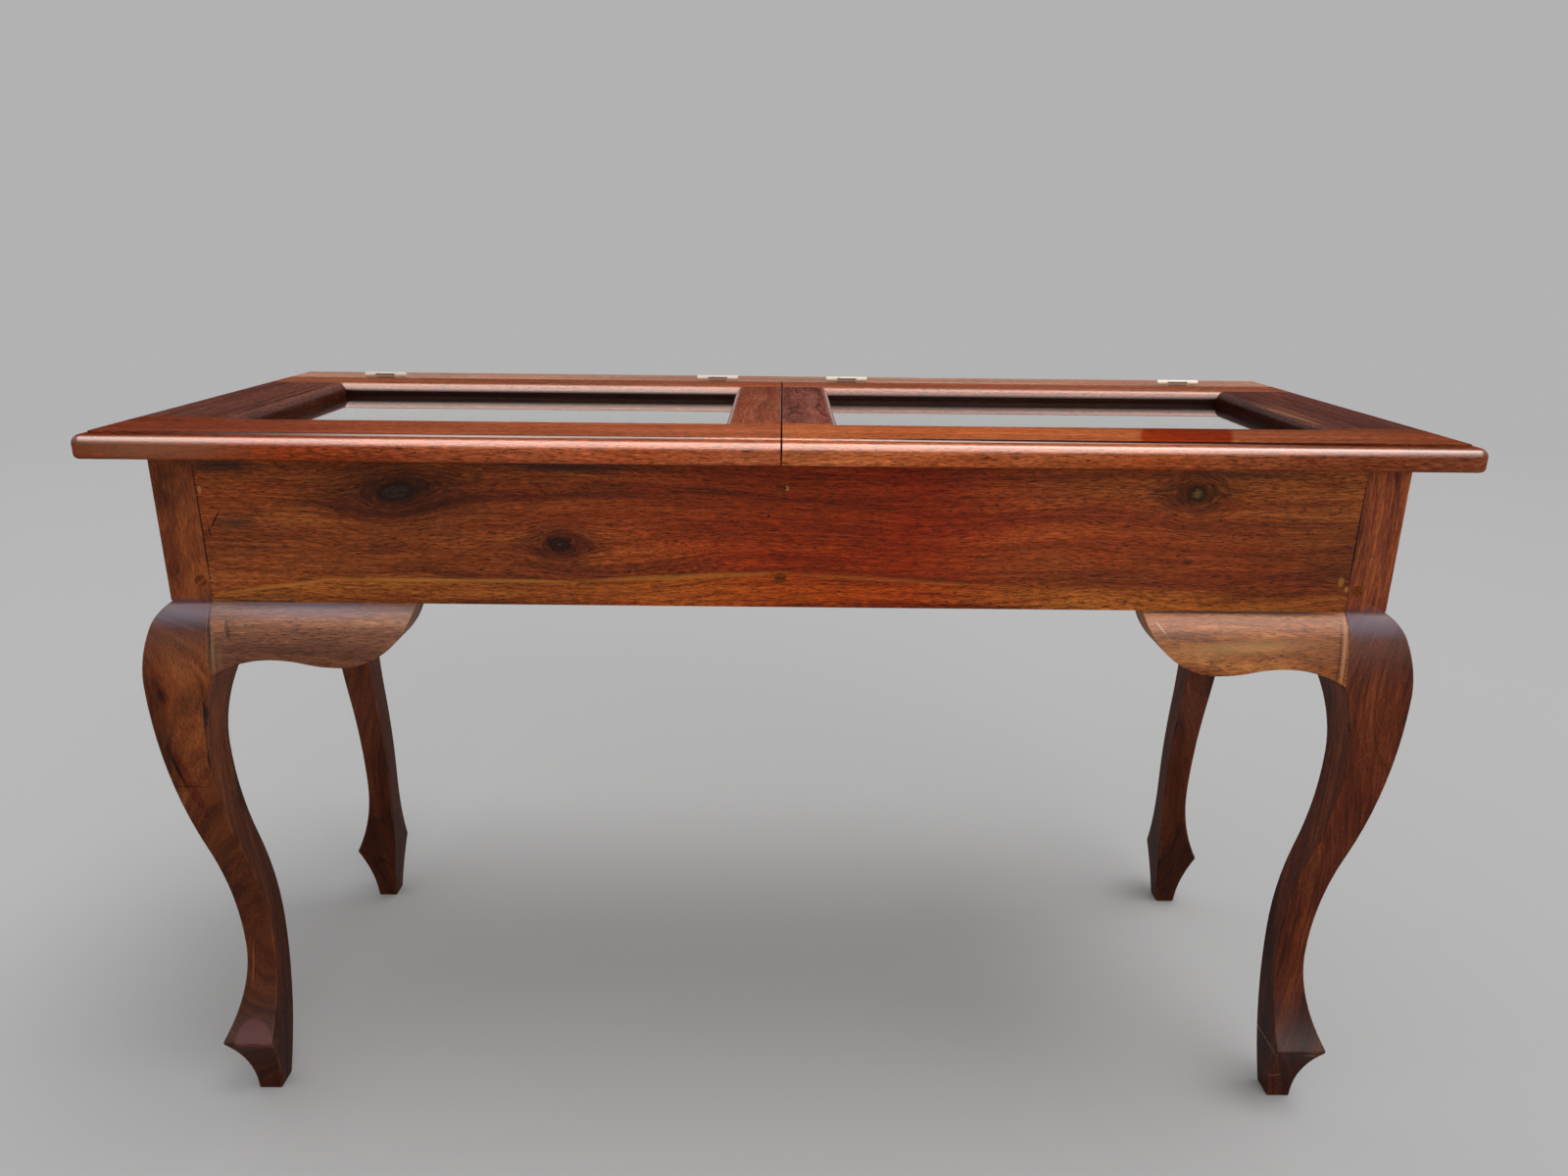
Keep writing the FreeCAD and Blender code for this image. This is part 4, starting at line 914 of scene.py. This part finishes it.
def glassFinish():
    # float glass: clear, faintly green, and a mirror when seen along its face
    material, tree = newMaterial("floatGlass")
    shader = addNode(tree, "BsdfPrincipled", {}, {
        "Base Color": glass["colour"], "Roughness": glass["roughness"], "IOR": glass["index"],
        "Transmission Weight": 1.0})
    clear = addNode(tree, "BsdfTransparent", {}, {"Color": glass["shadow"]})
    rays = addNode(tree, "LightPath")
    mix = addNode(tree, "MixShader", {}, {0: rays.outputs["Is Shadow Ray"], 1: shader, 2: clear})
    addNode(tree, "OutputMaterial", {}, {"Surface": mix})
    return material


brass = {
    "stops": [(0.24, "#3a2c1c"), (0.32, "#dec8ae"), (0.5, "#f0e2d2")],  # pitted to polished
    "grainSize": 1.6,  # mm
    "middle": 8.5,  # half of the tarnished middle of a knuckle, in mm
    "middleSoft": (3, 2),
    "ragged": 4,
    "tarnishAndDarkReflection": "#2a1c12",
    "tarnishAndDarkReflectionShare": 0.85,
    "bandSlope": 0.1,  # the tarnish with its painted dark reflection is a band where the knuckle faces this far up
    "bandSoft": (0.42, 0.26),
    "metallic": 0.5,  # dulled lacquer hides half of the metal's shine
    "roughness": (0.35, 0.6),
}


def brassFinish(name, middle):
    # lacquered brass: pale on the worn ends of the knuckle, tarnished brown between them, and darker where
    # the knuckle faces forward as a painted dark reflection
    material, tree = newMaterial(name)
    coords = addNode(tree, "TexCoord")
    real = addNode(tree, "Mapping", {}, {"Vector": coords.outputs["Object"], "Scale": perMetre})
    noise = addNode(tree, "TexNoise", {}, {"Vector": real, "Scale": 1 / brass["grainSize"], "Detail": 4.0})
    colour = addNode(tree, "ValToRGB", {}, {"Fac": noise}, brass["stops"])
    split = addNode(tree, "SeparateXYZ", {}, {0: real})
    away = addNode(tree, "Math", minus, {0: split.outputs[0], 1: middle / mm})
    away = addNode(tree, "Math", absolute, {0: away})
    away = addNode(tree, "Math", timesPlus, {0: noise, 1: brass["ragged"], 2: away})
    far, near = brass["middleSoft"]
    tarnishAndDarkReflection = addNode(tree, "MapRange", smooth, {
        "Value": away, "From Min": brass["middle"] + far, "From Max": brass["middle"] + near,
        "To Max": brass["tarnishAndDarkReflectionShare"]})
    slope = addNode(tree, "SeparateXYZ", {}, {0: coords.outputs["Normal"]})
    level = addNode(tree, "Math", minus, {0: slope.outputs[2], 1: brass["bandSlope"]})
    level = addNode(tree, "Math", absolute, {0: level})
    far, near = brass["bandSoft"]
    band = addNode(tree, "MapRange", smooth, {"Value": level, "From Min": far, "From Max": near})
    share = addNode(tree, "Math", times, {0: tarnishAndDarkReflection, 1: band})
    colour = addNode(tree, "Mix", colours, {"Factor": share, "A": colour, "B": brass["tarnishAndDarkReflection"]})
    least, most = brass["roughness"]
    dull = addNode(tree, "MapRange", {}, {"Value": noise, "To Min": least, "To Max": most})
    shader = addNode(tree, "BsdfPrincipled", {}, {
        "Base Color": colour, "Metallic": brass["metallic"], "Roughness": dull})
    addNode(tree, "OutputMaterial", {}, {"Surface": shader})
    return material


steel = {
    "colour": "#a8a8a8",
    "grainSize": 1.25,  # mm
    "roughness": (0.3, 0.55),
}


def steelFinish():
    # plain drawn steel: grey, half dull
    material, tree = newMaterial("drawnSteel")
    coords = addNode(tree, "TexCoord")
    noise = addNode(tree, "TexNoise", {}, {
        "Vector": coords.outputs["Object"], "Scale": 1 / (steel["grainSize"] * mm), "Detail": 3.0})
    least, most = steel["roughness"]
    dull = addNode(tree, "MapRange", {}, {"Value": noise, "To Min": least, "To Max": most})
    shader = addNode(tree, "BsdfPrincipled", {}, {
        "Base Color": steel["colour"], "Metallic": 1.0, "Roughness": dull})
    addNode(tree, "OutputMaterial", {}, {"Surface": shader})
    return material


# a paler, calm face veneer under a little wax
plywoodLook = {
    "seed": 60, "pith": (0, 300),
    "deep": "#8d6440", "body": "#a67c52", "light": "#b98e62", "streak": "#7a5232",
}
# the dark, tight end grain of a turned peg
dowelLook = {
    "grain": "y", "seed": 70, "bandWidth": 3,
    "deep": "#4a2410", "body": "#74391a", "light": "#8c5226", "gloss": 0.05, "specular": 0,
}


def dressMetalAndGlass():
    finishes = {
        "pane_glass": glassFinish(),
        "steel_fasteners": steelFinish(),
        "base_plywood": woodFinish("waxedPlywood", plywoodLook),
        "peg_wood": woodFinish("hardwoodDowel", dowelLook),
    }
    for side in ("left", "right"):
        for place in ("outer", "inner"):
            hinge = f"hinge_{side}_{place}"
            low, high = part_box(hinge + "_pin")
            finishes[hinge] = brassFinish("lacqueredBrass_" + hinge, (low.x + high.x) / 2)
    for nodeName, node in frame["nodes"].items():
        finish = finishes.get(slotOf[nodeName])
        if slotOf[nodeName] == "hinge_brass":
            # leaves and pins have the brass of their own hinge, and all screws that of one
            hinge = "_".join(nodeName.split("_")[:3])
            finish = finishes.get(hinge, finishes["hinge_left_inner"])
        if finish:
            node.data.materials.clear()
            node.data.materials.append(finish)


makeCamera()
makeWorld()
makeLights()
makeFloor()
print("stage 2: camera, light and floor")
makeWoodwork()
print("stage 3: woodwork dressed")
dressMetalAndGlass()
print("stage 4: glass, metal, plywood and pegs")
bpy.context.scene.view_settings.view_transform = "Standard"
